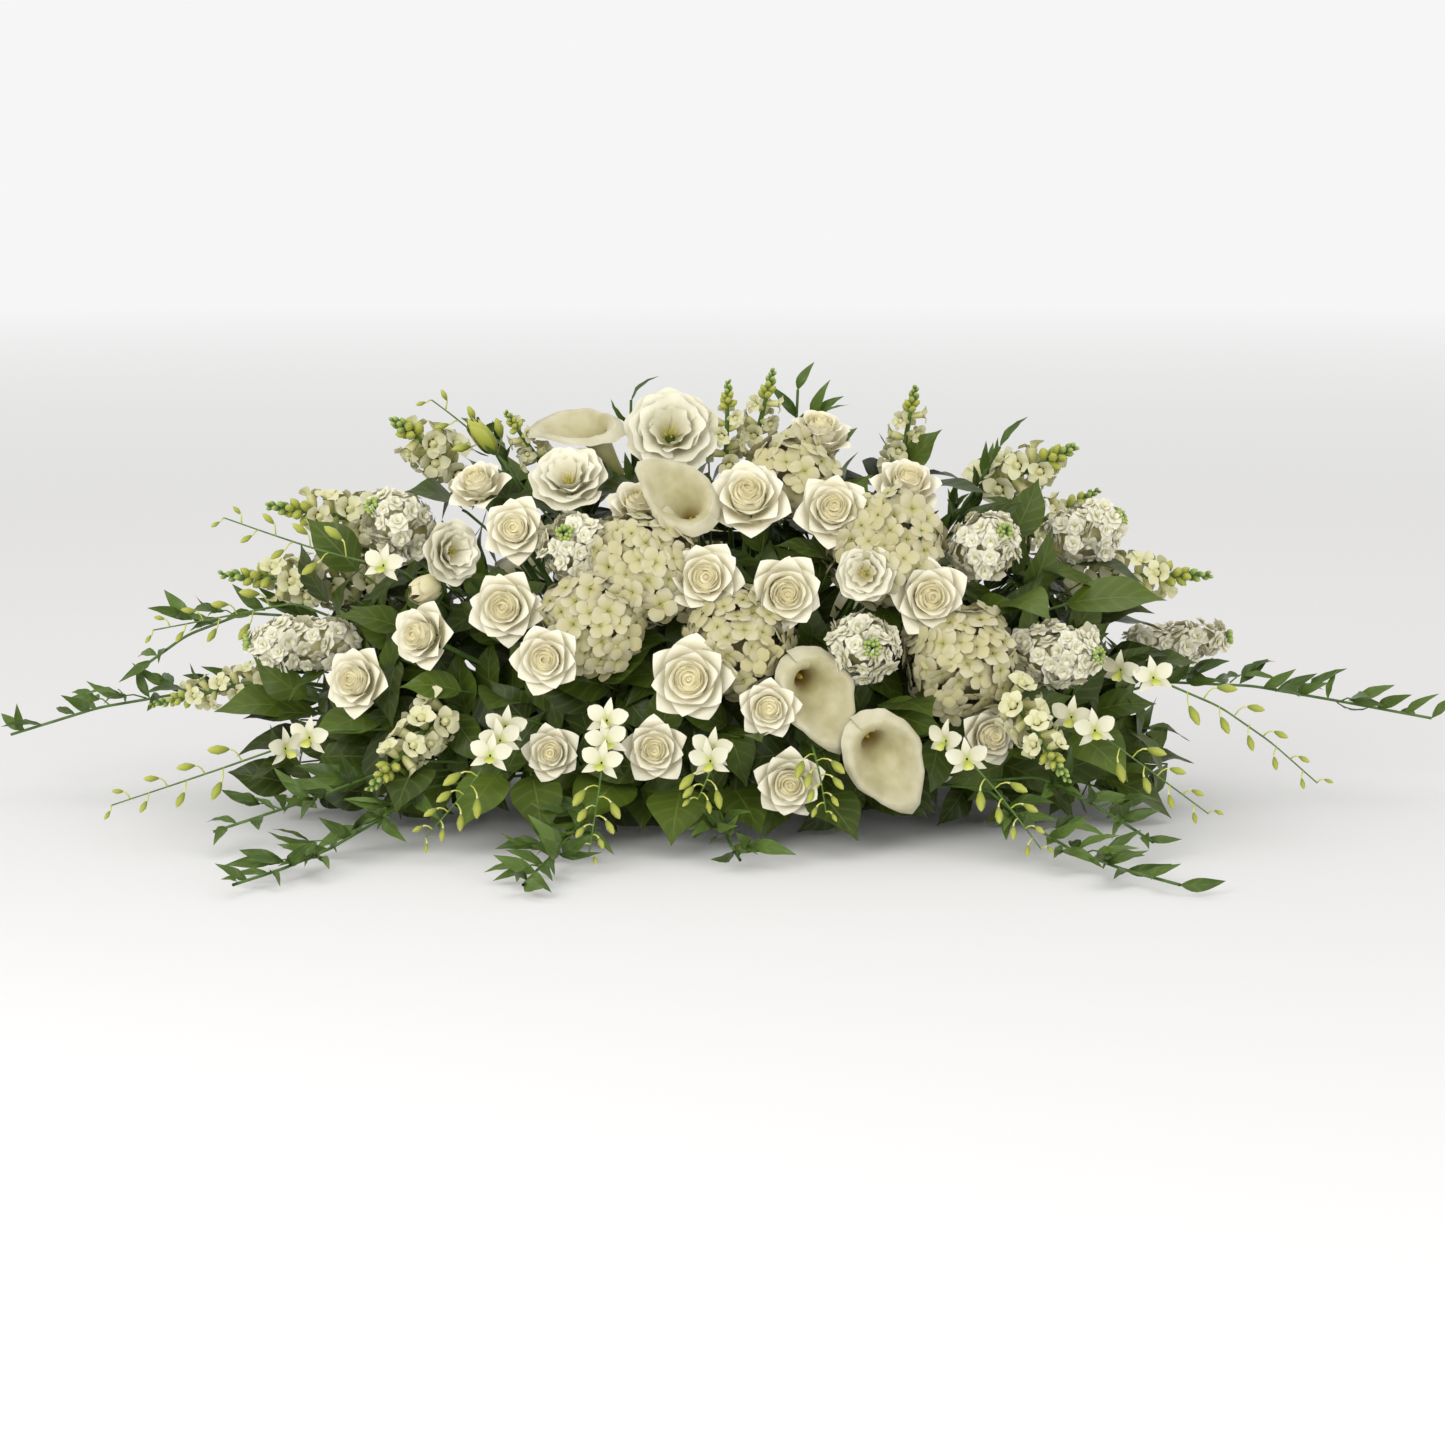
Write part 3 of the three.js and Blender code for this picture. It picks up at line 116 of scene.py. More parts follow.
# Greens: vines as (points of the stem, leaves), broad leaves as (root, turn, lift, long, wide), and where
# there are branches, (count, lowest corner, highest corner) of the field over which their tips are spread
GREENS = {
    "greens_left": ([
        ([[-420, 40, 100], [-580, 40, 128], [-740, 30, 110], [-856, 20, 76]], 10),
        ([[-430, 70, 190], [-550, 60, 222], [-640, 50, 196], [-706, 40, 150]], 6),
    ], [
        ([-500, -100, 128], -70, 0, 96, 62), ([-392, -168, 126], -50, -6, 92, 60),
    ], (2, (-560, 70), (-380, 270))),
    "greens_front_left": ([
        ([[-330, -250, 60], [-400, -360, 26], [-450, -460, 15], [-505, -560, 12]], 8),
        ([[-380, -240, 76], [-470, -300, 50], [-560, -330, 24]], 5),
    ], [
        ([-340, -250, 86], -14, -24, 90, 60), ([-250, -268, 76], -24, -28, 98, 60),
        ([-230, -210, 150], -20, 4, 100, 70), ([-210, -276, 76], 12, -28, 112, 58),
    ]),
    "greens_front": ([
        ([[-140, -280, 50], [-170, -380, 20], [-190, -470, 14], [-204, -560, 12]], 8),
        ([[0, -300, 44], [8, -360, 24], [22, -430, 12]], 4),
    ], [
        ([-44, -290, 62], -4, -24, 96, 70), ([26, -270, 120], 10, 6, 84, 60),
        ([-110, -240, 66], -30, -16, 110, 74), ([10, -240, 62], 20, -18, 110, 74),
    ]),
    "greens_front_right": ([
        ([[300, -260, 60], [352, -360, 28], [410, -460, 15], [478, -560, 12]], 8),
        ([[360, -240, 70], [430, -310, 42], [474, -370, 20]], 5),
    ], [
        ([110, -290, 60], 24, -22, 104, 60), ([170, -230, 76], 40, -16, 110, 76),
        ([200, -220, 150], 20, 4, 100, 70), ([404, -206, 112], 40, -24, 92, 70),
        ([340, -236, 104], 24, -10, 84, 58),
    ]),
    "greens_right": (
        [([[430, 40, 110], [560, 40, 140], [720, 30, 120], [858, 20, 96]], 10)],
        [([400, -150, 256], 70, 4, 118, 74), ([330, -180, 262], 30, 0, 84, 56)],
        (2, (380, 70), (560, 270)),
    ),
    "greens_top": ([
        ([[-80, 10, 300], [-104, -20, 410], [-104, -40, 482]], 3),
        ([[70, 20, 320], [88, 10, 420], [92, 0, 492]], 3),
        ([[240, 30, 280], [300, 0, 370], [330, -20, 426]], 4),
        ([[-200, 30, 300], [-260, -20, 410], [-284, -40, 462]], 3),
    ], [
        ([-300, -70, 356], -40, 22, 92, 58), ([130, -60, 400], 30, 44, 84, 54),
        ([220, 0, 392], 60, 48, 76, 42),
    ], (3, (-380, 320), (380, 400))),
    "greens_rear": ([
        ([[-200, 240, 60], [-260, 330, 30], [-330, 410, 18]], 5),
        ([[180, 240, 60], [230, 330, 30], [290, 410, 18]], 5),
    ], [
        ([-280, 200, 110], 206, -14, 120, 80), ([-60, 250, 112], 184, -20, 120, 80),
        ([60, 220, 330], 176, 24, 120, 80), ([240, 230, 90], 160, -16, 120, 80),
    ], (10, (-440, 50), (440, 340))),
}

# Foam, stems and florets, as in the solids. A plant aimed high goes into the top of the foam, one aimed
# wide into an end and others into a side, at a share of where they aim. Of a head, HEADS gives in radii
# how far its foot lies behind its middle, how deep its stem reaches in and how far other stems keep off.
BRICK = dict(length=229.7, width=110, top=84.3)
SOCKET = dict(
    depth=24, side_height=52, spacing=20, edge=9, corner=26, lead=10, step=5, high=190, wide=400,
    top_shares=(0.4, 0.17), end_share=0.2, side_share=0.5,
)
STEM = dict(
    rose=3, lisianthus=2.4, calla=4.5, hydrangea=4, stock=3.6, snapdragon=2.8, orchid=1.8, green=1.7,
)
HEADS = dict(
    rose=(0.5, 0.3, 0.62), lisianthus=(0.45, 0.25, 0.6), calla=(1.3, 0.3, 0.3),
    hydrangea=(0.6, 0.3, 0.6), stock=(0, 0.4, 0.5), snapdragon=(0, 0.2, 0.2),
)
FLORET = dict(hydrangea=17.5, stock=14.5)

# The bends tried for a stem, none first: share of the length, how far aside and towards which twelfth of
# a turn. The first that leaves the room wanted is taken, or else the one with the most room.
BENDS = [(share, aside, k) for share in (0.5, 0.3, 0.7, 0.15, 0.85)
         for aside in (0, 9, 18, 28, 40, 54, 72) for k in range(12 if aside else 1)]
ROOM = dict(wanted=1.4, branch=0.5, floor=8)
BRANCH = dict(depth=62, inside=0.8, steps=np.array([0.7549, 0.5698]), lean=0.4, height=90, floor=8)
WHORL = dict(
    leaves=3, long=92, half=0.03, edge=((-60, 0.14, 0), (-29, 0.5, 0.1), (0, 1, 0.02), (29, 0.5, 0.1)),
)


# Places and directions


def unit(v):
    v = np.asarray(v, float)
    return v / max(norm(v), 1e-12)


def on_dome(x, z, proud=0, rear=False):
    across, high = abs(x) / DOME["half"], abs(z - DOME["foot"]) / DOME["rise"]
    share = max(0, 1 - across ** DOME["power"] - high ** DOME["power"]) ** (1 / DOME["power"])
    return np.array([x, DOME["rear"] * share + proud if rear else -DOME["front"] * share - proud, z], float)


def outward(x, z, half, rise):
    """How far out a place seen from the front lies in an outline shaped as the dome's, which is at 1."""
    return (abs(x) / half) ** DOME["power"] + (abs(z - DOME["foot"]) / rise) ** DOME["power"]


def heading(turn, lift):
    a, e = radians(turn), radians(lift)
    return np.array([sin(a) * cos(e), -cos(a) * cos(e), sin(e)])


def around(radius, angle, height):
    """Points at a radius, an angle and a height round +Z."""
    return np.stack(np.broadcast_arrays(radius * np.cos(angle), radius * np.sin(angle), height), -1)


def circle(sides):
    return np.linspace(0, TURN, sides, endpoint=False)


def standing(direction, spin=0):
    """The rotation that turns +Z to a direction, after a spin about +Z."""
    x, y, z = unit(direction)
    turn = np.diag([1, -1, -1])
    if z > -0.9999:
        k = np.array([[0, 0, x], [0, 0, y], [-x, -y, 0]])
        turn = np.eye(3) + k + k @ k / (1 + z)
    c, s = cos(spin), sin(spin)
    return turn @ np.array([[c, -s, 0], [s, c, 0], [0, 0, 1]])


def laying(direction, face):
    """The rotation that lays a leaf along a direction, with its upper side, +Y, towards face."""
    along = unit(direction)
    across = unit(np.cross(face, along))
    return np.stack([across, np.cross(along, across), along], 1)


def catmull(points, t):
    """The point at share t of a smooth curve through points."""
    p = np.asarray(points, float)
    spans = len(p) - 1
    i = min(int(t * spans), spans - 1)
    w = t * spans - i
    p1, p2 = p[i], p[i + 1]
    p0 = p[i - 1] if i > 0 else 2 * p[0] - p[1]
    p3 = p[i + 2] if i + 2 < len(p) else 2 * p[-1] - p[-2]
    d0, d1, d2 = [max(norm(b - a), 1e-4) ** 0.5 for a, b in ((p0, p1), (p1, p2), (p2, p3))]
    m1 = ((p1 - p0) / d0 - (p2 - p0) / (d0 + d1) + (p2 - p1) / d1) * d1
    m2 = ((p2 - p1) / d1 - (p3 - p1) / (d1 + d2) + (p3 - p2) / d2) * d1
    return (((2 * p1 - 2 * p2 + m1 + m2) * w + 3 * p2 - 3 * p1 - 2 * m1 - m2) * w + m1) * w + p1


def way_lengths(points):
    """The steps of a way, their lengths, and how far along it each of its points lies."""
    steps = np.diff(points, axis=0)
    lengths = norm(steps, axis=1)
    return steps, lengths, np.concatenate([[0], np.cumsum(lengths)])


def spaced(points, pieces):
    """Evenly spaced points on the smooth curve through points."""
    shares = np.linspace(0, 1, 201)
    run = way_lengths([catmull(points, t) for t in shares])[2]
    return np.array([catmull(points, t) for t in np.interp(np.linspace(0, run[-1], pieces + 1), run, shares)])


def along_way(points, share):
    """The place and the direction at a share of the length of a way."""
    steps, lengths, run = way_lengths(points)
    d = np.clip(share, 0, 1) * run[-1]
    k = int(np.clip(np.searchsorted(run, d, "right") - 1, 0, len(steps) - 1))
    return points[k] + steps[k] * (d - run[k]) / lengths[k], steps[k] / lengths[k]


# Stems: each goes from its hole in the foam round the stems and heads of other plants. A rod is the
# number of its plant, its ends and its radius.

plants, mouths, rods = [], [], []
grids = np.meshgrid(np.arange(-BRICK["length"], BRICK["length"], SOCKET["step"]),
                    np.arange(-BRICK["width"] / 2, BRICK["width"] / 2 + 1, SOCKET["step"]), indexing="ij")


def new_plant(name, kind, aims):
    """A plant in the free place of the foam that is nearest to the wanted one."""
    aim, half, edge = np.mean(aims, 0), BRICK["width"] / 2, SOCKET["edge"]
    side = copysign(1, aim[1])
    out, wanted = [0, side, 0], [aim[0] * SOCKET["side_share"], side * half, SOCKET["side_height"]]
    if aim[2] >= SOCKET["high"]:
        out, wanted = [0, 0, 1], [*aim[:2] * SOCKET["top_shares"], BRICK["top"]]
    elif abs(aim[0]) > SOCKET["wide"]:
        end = copysign(1, aim[0])
        out = [end, 0, 0]
        wanted = [end * BRICK["length"], aim[1] * SOCKET["end_share"], SOCKET["side_height"]]
    x, y = [wanted[i] if out[i] else grids[i] for i in (0, 1)]
    p = np.stack(np.broadcast_arrays(x, y, wanted[2]), -1).reshape(-1, 3)
    ok = np.ones(len(p), bool)
    if not out[0]:
        room = BRICK["length"] - edge - (0 if out[2] else SOCKET["corner"])
        ok &= (np.abs(p[:, 0]) < room) & (np.abs(p[:, 0]) > edge)
    if not out[1]:
        ok &= np.abs(p[:, 1]) < half - edge
    for other in mouths:
        ok &= norm(p - other, axis=1) >= SOCKET["spacing"]
    mouth = p[np.argmin(np.round(np.where(ok, norm(p - wanted, axis=1), np.inf), 6))]
    mouths.append(mouth)
    root, lead = [mouth + np.array(out) * far for far in (-SOCKET["depth"], SOCKET["lead"])]
    rods.append((len(plants), root, lead, STEM[kind]))
    plants.append(dict(number=len(plants), name=name, kind=kind, root=root, lead=lead, stems=[], ways=[],
                       heads=[], branches=[]))
    return plants[-1]


def least_room(points, starts, spans, radii):
    """The least gap between a way and rods, given as starts, spans and radii that include its own."""
    least, vv = np.inf, (spans * spans).sum(1)
    for a, b in zip(points[:-1], points[1:]):
        u, w = b - a, a - starts
        uu, uv, uw, vw = u @ u, spans @ u, w @ u, (spans * w).sum(1)
        det = uu * vv - uv * uv
        s = np.where(det > 0, np.clip((uv * vw - vv * uw) / np.where(det > 0, det, 1), 0, 1), 0)
        t = np.clip((uv * s + vw) / vv, 0, 1)
        s = np.clip((uv * t - uw) / uu, 0, 1)
        gap = norm(a + s[:, None] * u - starts - t[:, None] * spans, axis=1)
        least = min(least, (gap - radii).min())
    return least


def add_stem(plant, end, direction, tail=(), least=-np.inf):
    """Leads a stem to an end, and into its direction where it would come to it at an angle. Says whether
    there is room for it."""
    radius, start, ways = STEM[plant["kind"]], plant["lead"], plant["ways"]
    aligned = unit(start - end) @ unit(direction) <= cos(radians(150))
    rest = [end, *tail] if aligned or len(tail) else [end - direction * 4 * radius, end]
    starts, ends, radii = [np.array(column, float) for column in zip(
        *[rod[1:] for rod in rods if rod[0] != plant["number"]])]
    along = rest[0] - start
    steep = abs(along[2]) > 0.9 * norm(along)
    side = unit([1, 0, 0] if steep else np.cross([0, 0, 1], along))
    other = unit(np.cross(along, side))
    best, widest = None, -np.inf
    for share, aside, twelfth in BENDS:
        angle = TURN * twelfth / 12
        bend = start + along * share + (side * cos(angle) + other * sin(angle)) * aside
        if bend[2] >= ROOM["floor"]:
            way = [start, bend, *rest] if aside else [start, *rest]
            gap = least_room(way, starts, ends - starts, radii + radius)
            if gap > widest:
                best, widest = way, gap
            if gap > ROOM["wanted"]:
                break
    if widest < least:
        return False
    points = [*([] if ways else [plant["root"]]), *best]
    ways.append(np.array(points))
    rods.extend((plant["number"], a, b, radius) for a, b in zip(points[:-1], points[1:]))
    return True


def add_branches(plant, count, low, high):
    """Stems to places under the dome at the rear, each with a whorl of leaves: (tip, direction, turn)."""
    degrees, out, rise = np.array(WHORL["edge"]).T
    turns = np.arange(WHORL["leaves"])[:, None] * 360 / WHORL["leaves"]
    spokes = around(out, np.radians(degrees + turns), rise).reshape(-1, 3)
    ends = np.concatenate([spokes, [[0, 0, WHORL["half"]], [0, 0, -WHORL["half"]]]]) * WHORL["long"]
    k = 0
    while len(plant["branches"]) < count:
        k += 1
        x, z = low + (k * BRANCH["steps"]) % 1 * np.subtract(high, low)
        tip = on_dome(x, z, -BRANCH["depth"], True)
        direction = unit(tip - [BRANCH["lean"] * x, 0, BRANCH["height"]])
        turn = standing(direction, GOLDEN * k)
        inside = outward(x, z, DOME["half"], DOME["rise"]) <= BRANCH["inside"]
        above = (ends @ turn.T + tip)[:, 2].min() >= BRANCH["floor"]
        if inside and above and add_stem(plant, tip, direction, least=ROOM["branch"]):
            plant["branches"].append((tip, direction, turn))


def new_head(kind, rear, x, z, r, turn, lift, proud=0, long=None, spin=None):
    """A head set on the dome. Its keep is the rod that other stems keep off."""
    face, behind = heading(turn, lift), long / 2 if long else HEADS[kind][0] * r
    middle = on_dome(x, z, proud, rear)
    keep = (middle, middle + face * 0.3 * behind, HEADS[kind][2] * r)
    return dict(r=r, long=long, face=face, foot=middle - face * behind, keep=keep, spin=spin)


def vine_stem(way):
    """The end, the direction and the rest of a stem that goes on along a way."""
    p = spaced(way, 4)
    return p[0], unit(p[1] - p[0]), p[1:]


for kind, front, rear_name, rear_rows in FLOWERS:
    for i, rows in enumerate([*front, rear_rows] if rear_rows else front):
        heads = [new_head(kind, i == len(front), *row) for row in rows]
        name = f"{kind}_{i + 1:02d}" if i < len(front) else rear_name
        plant = new_plant(name, kind, [h["foot"] for h in heads])
        for k, h in enumerate(heads):
            h["turn"] = standing(h["face"], radians(h["spin"]) if h["spin"] else GOLDEN * (len(plants) + k))
            rods.append((plant["number"], *h["keep"]))
            plant["heads"].append(h)
            plant["stems"].append((h["foot"] + h["face"] * HEADS[kind][1] * h["r"], h["face"]))
for i, sprays in enumerate(ORCHIDS):
    plant = new_plant(f"orchids_{i + 1:02d}", "orchid", [spray[0][0] for spray in sprays])
    plant["stems"] = [vine_stem(spray[0]) for spray in sprays]
for name, (vines, broad, *_) in GREENS.items():
    plant = new_plant(name, "green", [vine[0][0] for vine in vines] + [leaf[0] for leaf in broad])
    plant["stems"] = [vine_stem(vine[0]) for vine in vines]
    plant["stems"] += [(np.array(leaf[0], float), heading(*leaf[1:3])) for leaf in broad]
for plant in plants:
    for stem in plant["stems"]:
        add_stem(plant, *stem)
    for field in GREENS.get(plant["name"], ())[2:]:
        add_branches(plant, *field)


# Meshes: sheets of points in rows and columns, each with its marks: across and along the petal, and
# its tone


def placed(name, data):
    ob = bpy.data.objects.new(name, data)
    scene.collection.objects.link(ob)
    return ob


class Piece:
    def __init__(self, name):
        self.name = name
        self.points, self.marks, self.quads, self.looks, self.materials = [], [], [], [], []
        self.count = 0

    def add(self, sheets, material, tone=0.5, turn=None, base=0, ring=False, span=(0, 1)):
        p = np.asarray(sheets, float)
        rows, columns = p.shape[-3:-1]
        tones = np.broadcast_to(np.asarray(tone, float), p.shape[:-3]).reshape(-1, 1, 1)
        p = ((p if turn is None else p @ np.asarray(turn).T) + base).reshape(-1, rows, columns, 3)
        n = len(p)
        i = np.arange(rows * columns).reshape(rows, columns)
        right, left = (np.roll(i, -1, 1), i) if ring else (i[:, 1:], i[:, :-1])
        quads = np.stack([left[:-1], right[:-1], right[1:], left[1:]], -1).reshape(-1, 4)
        quads = quads[None] + (self.count + np.arange(n) * rows * columns)[:, None, None]
        across, along = np.meshgrid(np.linspace(-1, 1, columns), np.linspace(*span, rows))
        marks = np.stack(np.broadcast_arrays(across, along, tones), -1)
        if material not in self.materials:
            self.materials.append(material)
        self.points.append(p.reshape(-1, 3))
        self.marks.append(marks.reshape(-1, 3))
        self.quads.append(quads.reshape(-1, 4))
        self.looks.append(np.full(quads.size // 4, self.materials.index(material)))
        self.count += n * rows * columns

    def finish(self, node):
        points, quads = np.concatenate(self.points) * MM, np.concatenate(self.quads)
        mesh = bpy.data.meshes.new(self.name)
        mesh.vertices.add(len(points))
        mesh.loops.add(quads.size)
        mesh.polygons.add(len(quads))
        marks = mesh.attributes.new("petal", "FLOAT_VECTOR", "POINT")
        for items, key, values in (
            (mesh.vertices, "co", points.astype(np.float32)),
            (mesh.loops, "vertex_index", quads.astype(np.int32)),
            (mesh.polygons, "loop_start", np.arange(0, quads.size, 4, dtype=np.int32)),
            (mesh.polygons, "material_index", np.concatenate(self.looks).astype(np.int32)),
            (mesh.polygons, "use_smooth", np.ones(len(quads), bool)),
            (marks.data, "vector", np.concatenate(self.marks).astype(np.float32)),
        ):
            items.foreach_set(key, values.ravel())
        mesh.update(calc_edges=True)
        for material in self.materials:
            mesh.materials.append(material)
        ob = placed(self.name, mesh)
        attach(ob, "root")
        if node:
            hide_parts(node)


def rounded(points, reach=14):
    """A way with its bends made round."""
    p = np.asarray(points, float)
    out = [p[0]]
    for before, at, after in zip(p[:-2], p[1:-1], p[2:]):
        cut = min(reach, norm(at - before) * 0.45, norm(after - at) * 0.45)
        a, b = at + unit(before - at) * cut, at + unit(after - at) * cut
        out += [(1 - t) ** 2 * a + 2 * t * (1 - t) * at + t * t * b for t in (0, 0.25, 0.5, 0.75, 1)]
    return np.array(out + [p[-1]])


def rod(points, radii, sides=7):
    """A round rod through points, as one sheet that closes on itself."""
    p = np.asarray(points, float)
    steps = np.diff(p, axis=0)
    steps /= np.maximum(norm(steps, axis=1), 1e-9)[:, None]
    along = np.concatenate([steps[:1], steps[:-1] + steps[1:], steps[-1:]])
    along /= np.maximum(norm(along, axis=1), 1e-9)[:, None]
    side = unit(np.cross([0.3, 0.1, 1] if abs(along[0][2]) < 0.9 else [1, 0.2, 0], along[0]))
    angle = circle(sides)[:, None]
    rows = []
    for q, a, r in zip(p, along, np.broadcast_to(np.asarray(radii, float), (len(p),))):
        side = unit(side - a * (side @ a))
        rows.append(q + r * (np.cos(angle) * side + np.sin(angle) * np.cross(a, side)))
    return np.array(rows)


def bezier(c, t):
    """Points at t on curves with four control points: c is (..., 4, 2) and t is (..., rows, columns)."""
    c = c[..., None, None, :, :]
    t = t[..., None]
    return ((1 - t) ** 3 * c[..., 0, :] + 3 * t * (1 - t) ** 2 * c[..., 1, :]
            + 3 * t * t * (1 - t) * c[..., 2, :] + t ** 3 * c[..., 3, :])


def profiles(n, *controls):
    """The same four control points of radius and height for each of n petals."""
    return np.tile(np.array(controls, float), (n, 1, 1))


def cup_petals(theta, controls, half, rows, columns, cut, power, spiral, roll, ruffle, waves):
    """Petals round +Z, whose middles follow a profile of radius and height from the foot to the rim.
    half is half the angle that each spans, cut how much lower its sides end, roll how far these bend
    back, and ruffle the waves of the rim."""
    theta, half = theta[:, None, None], np.broadcast_to(half, theta.shape)[:, None, None]
    v = np.linspace(0, 1, rows)[None, :, None]
    u = np.linspace(-1, 1, columns)[None, None, :]
    s = v * (1 - cut * np.abs(u) ** power)
    profile = bezier(controls, s)
    wide = 0.4 + 0.6 * np.sin(pi / 2 * np.minimum(1, 1.5 * s))
    phase = rng.uniform(*ANY_ANGLE, theta.shape)
    bend = roll * np.abs(u) ** 3 * s ** 3
    radius = profile[..., 0] * (1 + spiral * u) + bend + ruffle * s ** 4 * np.sin(waves * u + phase)
    height = profile[..., 1] - 1.3 * bend + ruffle * s ** 4 * np.cos(waves * u * 0.8 + 2 * phase)
    return around(radius, theta + u * half * wide, height)


def blade(rows, columns, length, width, shape, arch=0, cup=0, fold=0, ruffle=0, waves=6,
          phase=0, droop=0, bend=0):
    """A flat petal or leaf: +X across, +Y its upper side, +Z along. Its tip droops and bends aside."""
    v = np.linspace(0, 1, rows)[:, None]
    u = np.linspace(-1, 1, columns)[None, :]
    half = width / 2 * np.interp(v, np.linspace(0, 1, len(shape)), shape)
    up = arch * np.sin(pi * v) + cup * u ** 2 * half + fold * np.abs(u) * half - droop * v ** 2
    up = up + ruffle * np.abs(u) ** 2 * np.sin(waves * v * pi + phase * np.sign(u)) * (v * (1 - v) * 4)
    return np.stack(np.broadcast_arrays(u * half + bend * v ** 2, up, length * v), -1)


def set_round(p, out, up, angle):
    """A blade set at an angle round +Z, with the distances out and up that its points come to have."""
    c, s = cos(angle), sin(angle)
    return np.stack([out * c - p[..., 0] * s, out * s + p[..., 0] * c, up], -1)


def bud_sheet(length, radius, rows=6, columns=6, widest=0.6):
    """A shut bud along +Z, as a sheet that closes round."""
    v = np.linspace(0, 1, rows)[:, None]
    r = radius * np.interp(v, [0, 0.2, widest, 0.88, 1], [0.25, 0.7, 1, 0.55, 0.03])
    return around(r, circle(columns), length * v)


SALAL = (0.02, 0.55, 0.86, 0.99, 1, 0.9, 0.7, 0.42, 0.16, 0)
RUSCUS = (0.04, 0.6, 0.95, 1, 0.86, 0.6, 0.32, 0)
ROUND = (0.18, 0.62, 0.92, 1, 0.82, 0.2)
POINTED = (0.3, 0.8, 1, 0.8, 0.45, 0.04)


# Materials


def rgb(code):
    """A colour from its six hexadecimal digits."""
    parts = [((code >> s) & 255) / 255 for s in (16, 8, 0)]
    return [((c + 0.055) / 1.055) ** 2.4 if c > 0.04045 else c / 12.92 for c in parts] + [1]


class Look:
    """A material with a shader, to which each method adds one node."""

    def __init__(self, name, rough, specular):
        self.material = bpy.data.materials.new(name)
        self.material.use_nodes = True
        self.tree = self.material.node_tree
        self.shader = self.tree.nodes["Principled BSDF"]
        self.feed(self.shader.inputs["Roughness"], rough)
        self.feed(self.shader.inputs["Specular IOR Level"], specular)

    def feed(self, socket, value):
        if isinstance(value, bpy.types.NodeSocket):
            self.tree.links.new(value, socket)
        else:
            socket.default_value = value

    def node(self, kind, settings=(), **sockets):
        node = self.tree.nodes.new(kind)
        for key, value in settings:
            setattr(node, key, value)
        for name, value in sockets.items():
            self.feed(node.inputs[name], value)
        return node

    def colour(self, value):
        self.feed(self.shader.inputs["Base Color"], value)

    def ramp(self, source, stops):
        node = self.node("ShaderNodeValToRGB", Fac=source)
        while len(node.color_ramp.elements) < len(stops):
            node.color_ramp.elements.new(0.5)
        for element, (place, code) in zip(node.color_ramp.elements, stops):
            element.position = place
            element.color = rgb(code)
        return node.outputs["Color"]

    def mixed(self, factor, a, b, mode="MIX"):
        settings = ("data_type", "RGBA"), ("blend_type", mode)
        return self.node("ShaderNodeMix", settings, Factor=factor, A=a, B=b).outputs["Result"]

    def maths(self, kind, a, b=0, clamp=False):
        node = self.node("ShaderNodeMath", [("operation", kind), ("use_clamp", clamp)])
        self.feed(node.inputs[0], a)
        self.feed(node.inputs[1], b)
        return node.outputs[0]

    def marks(self):
        source = self.node("ShaderNodeAttribute", [("attribute_name", "petal")])
        return self.node("ShaderNodeSeparateXYZ", Vector=source.outputs["Vector"]).outputs

    def noise(self, scale, detail=2, place=None):
        place = place or self.node("ShaderNodeTexCoord").outputs["Object"]
        return self.node("ShaderNodeTexNoise", Scale=scale, Detail=detail, Vector=place).outputs["Fac"]

    def bump(self, height, strength, distance, invert=False):
        node = self.node("ShaderNodeBump", [("invert", invert)], Strength=strength, Distance=distance,
                         Height=height)
        self.feed(self.shader.inputs["Normal"], node.outputs["Normal"])


def petal_look(name, stops, heart=None, heart_share=0.6, ribs=9, rough=0.55, bump=0.2, cloud=0xF7F5EE):
    """Petals coloured from foot to rim by stops, and towards heart where their tone is low, with fine
    ribs that run along each petal and spread from its foot. In a rose the heart is its inner petals; in a
    hydrangea it is painted shade on the florets set deeper in the ball."""
    look = Look(name, rough, 0.3)
    look.feed(look.shader.inputs["Sheen Weight"], 0.15)
    across, along, tone = look.marks()
    colour = look.ramp(along, stops)
    if heart is not None:
        # heart colour: in a hydrangea, painted shade on its deeper florets
        inner = look.ramp(tone, [(0, 0xFFFFFF), (heart_share, 0x000000)])
        colour = look.mixed(inner, colour, rgb(heart))
    shade = look.ramp(look.noise(42), [(0.35, cloud), (0.65, 0xFFFFFF)])
    look.colour(look.mixed(0.6, colour, shade, "MULTIPLY"))
    place = look.node("ShaderNodeCombineXYZ", X=look.maths("MULTIPLY", across, ribs),
                      Y=look.maths("MULTIPLY", along, 2), Z=look.maths("MULTIPLY", tone, 40))
    look.bump(look.noise(1, 3, place.outputs[0]), bump, 0.0006)
    return look.material


def leaf_look(name, dark, light, rib, ribs, rough):
    """Leaves with a pale midrib, side veins and a colour that differs from leaf to leaf."""
    look = Look(name, rough, 0.25)
    across, along, tone = look.marks()
    colour = look.ramp(tone, [(0, dark), (1, light)])
    shade = look.ramp(look.noise(25, 3), [(0.3, 0xC4C8BC), (0.7, 0xFFFFFF)])
    colour = look.mixed(0.7, colour, shade, "MULTIPLY")
    side = look.maths("ABSOLUTE", across)
    slant = look.maths("SUBTRACT", along, look.maths("MULTIPLY", side, 0.22))
    wave = look.maths("SINE", look.maths("MULTIPLY", slant, ribs * 2))
    vein = look.maths("POWER", look.maths("ABSOLUTE", wave), 12)
    middle = look.maths("SUBTRACT", 1, look.maths("MULTIPLY", side, 16), True)
    lines = look.maths("MAXIMUM", middle, look.maths("MULTIPLY", vein, 0.35))
    look.colour(look.mixed(look.maths("MULTIPLY", lines, 0.35), colour, rgb(rib)))
    look.bump(lines, 0.5, 0.0008, invert=True)
    return look.material


def plain_look(name, stops, scale, rough, bump, distance, specular=0.4):
    """A colour that drifts with noise over the surface, with fine relief."""
    look = Look(name, rough, specular)
    look.colour(look.ramp(look.noise(scale, 4), stops))
    look.bump(look.noise(scale * 4, 4), bump, distance)
    return look.material


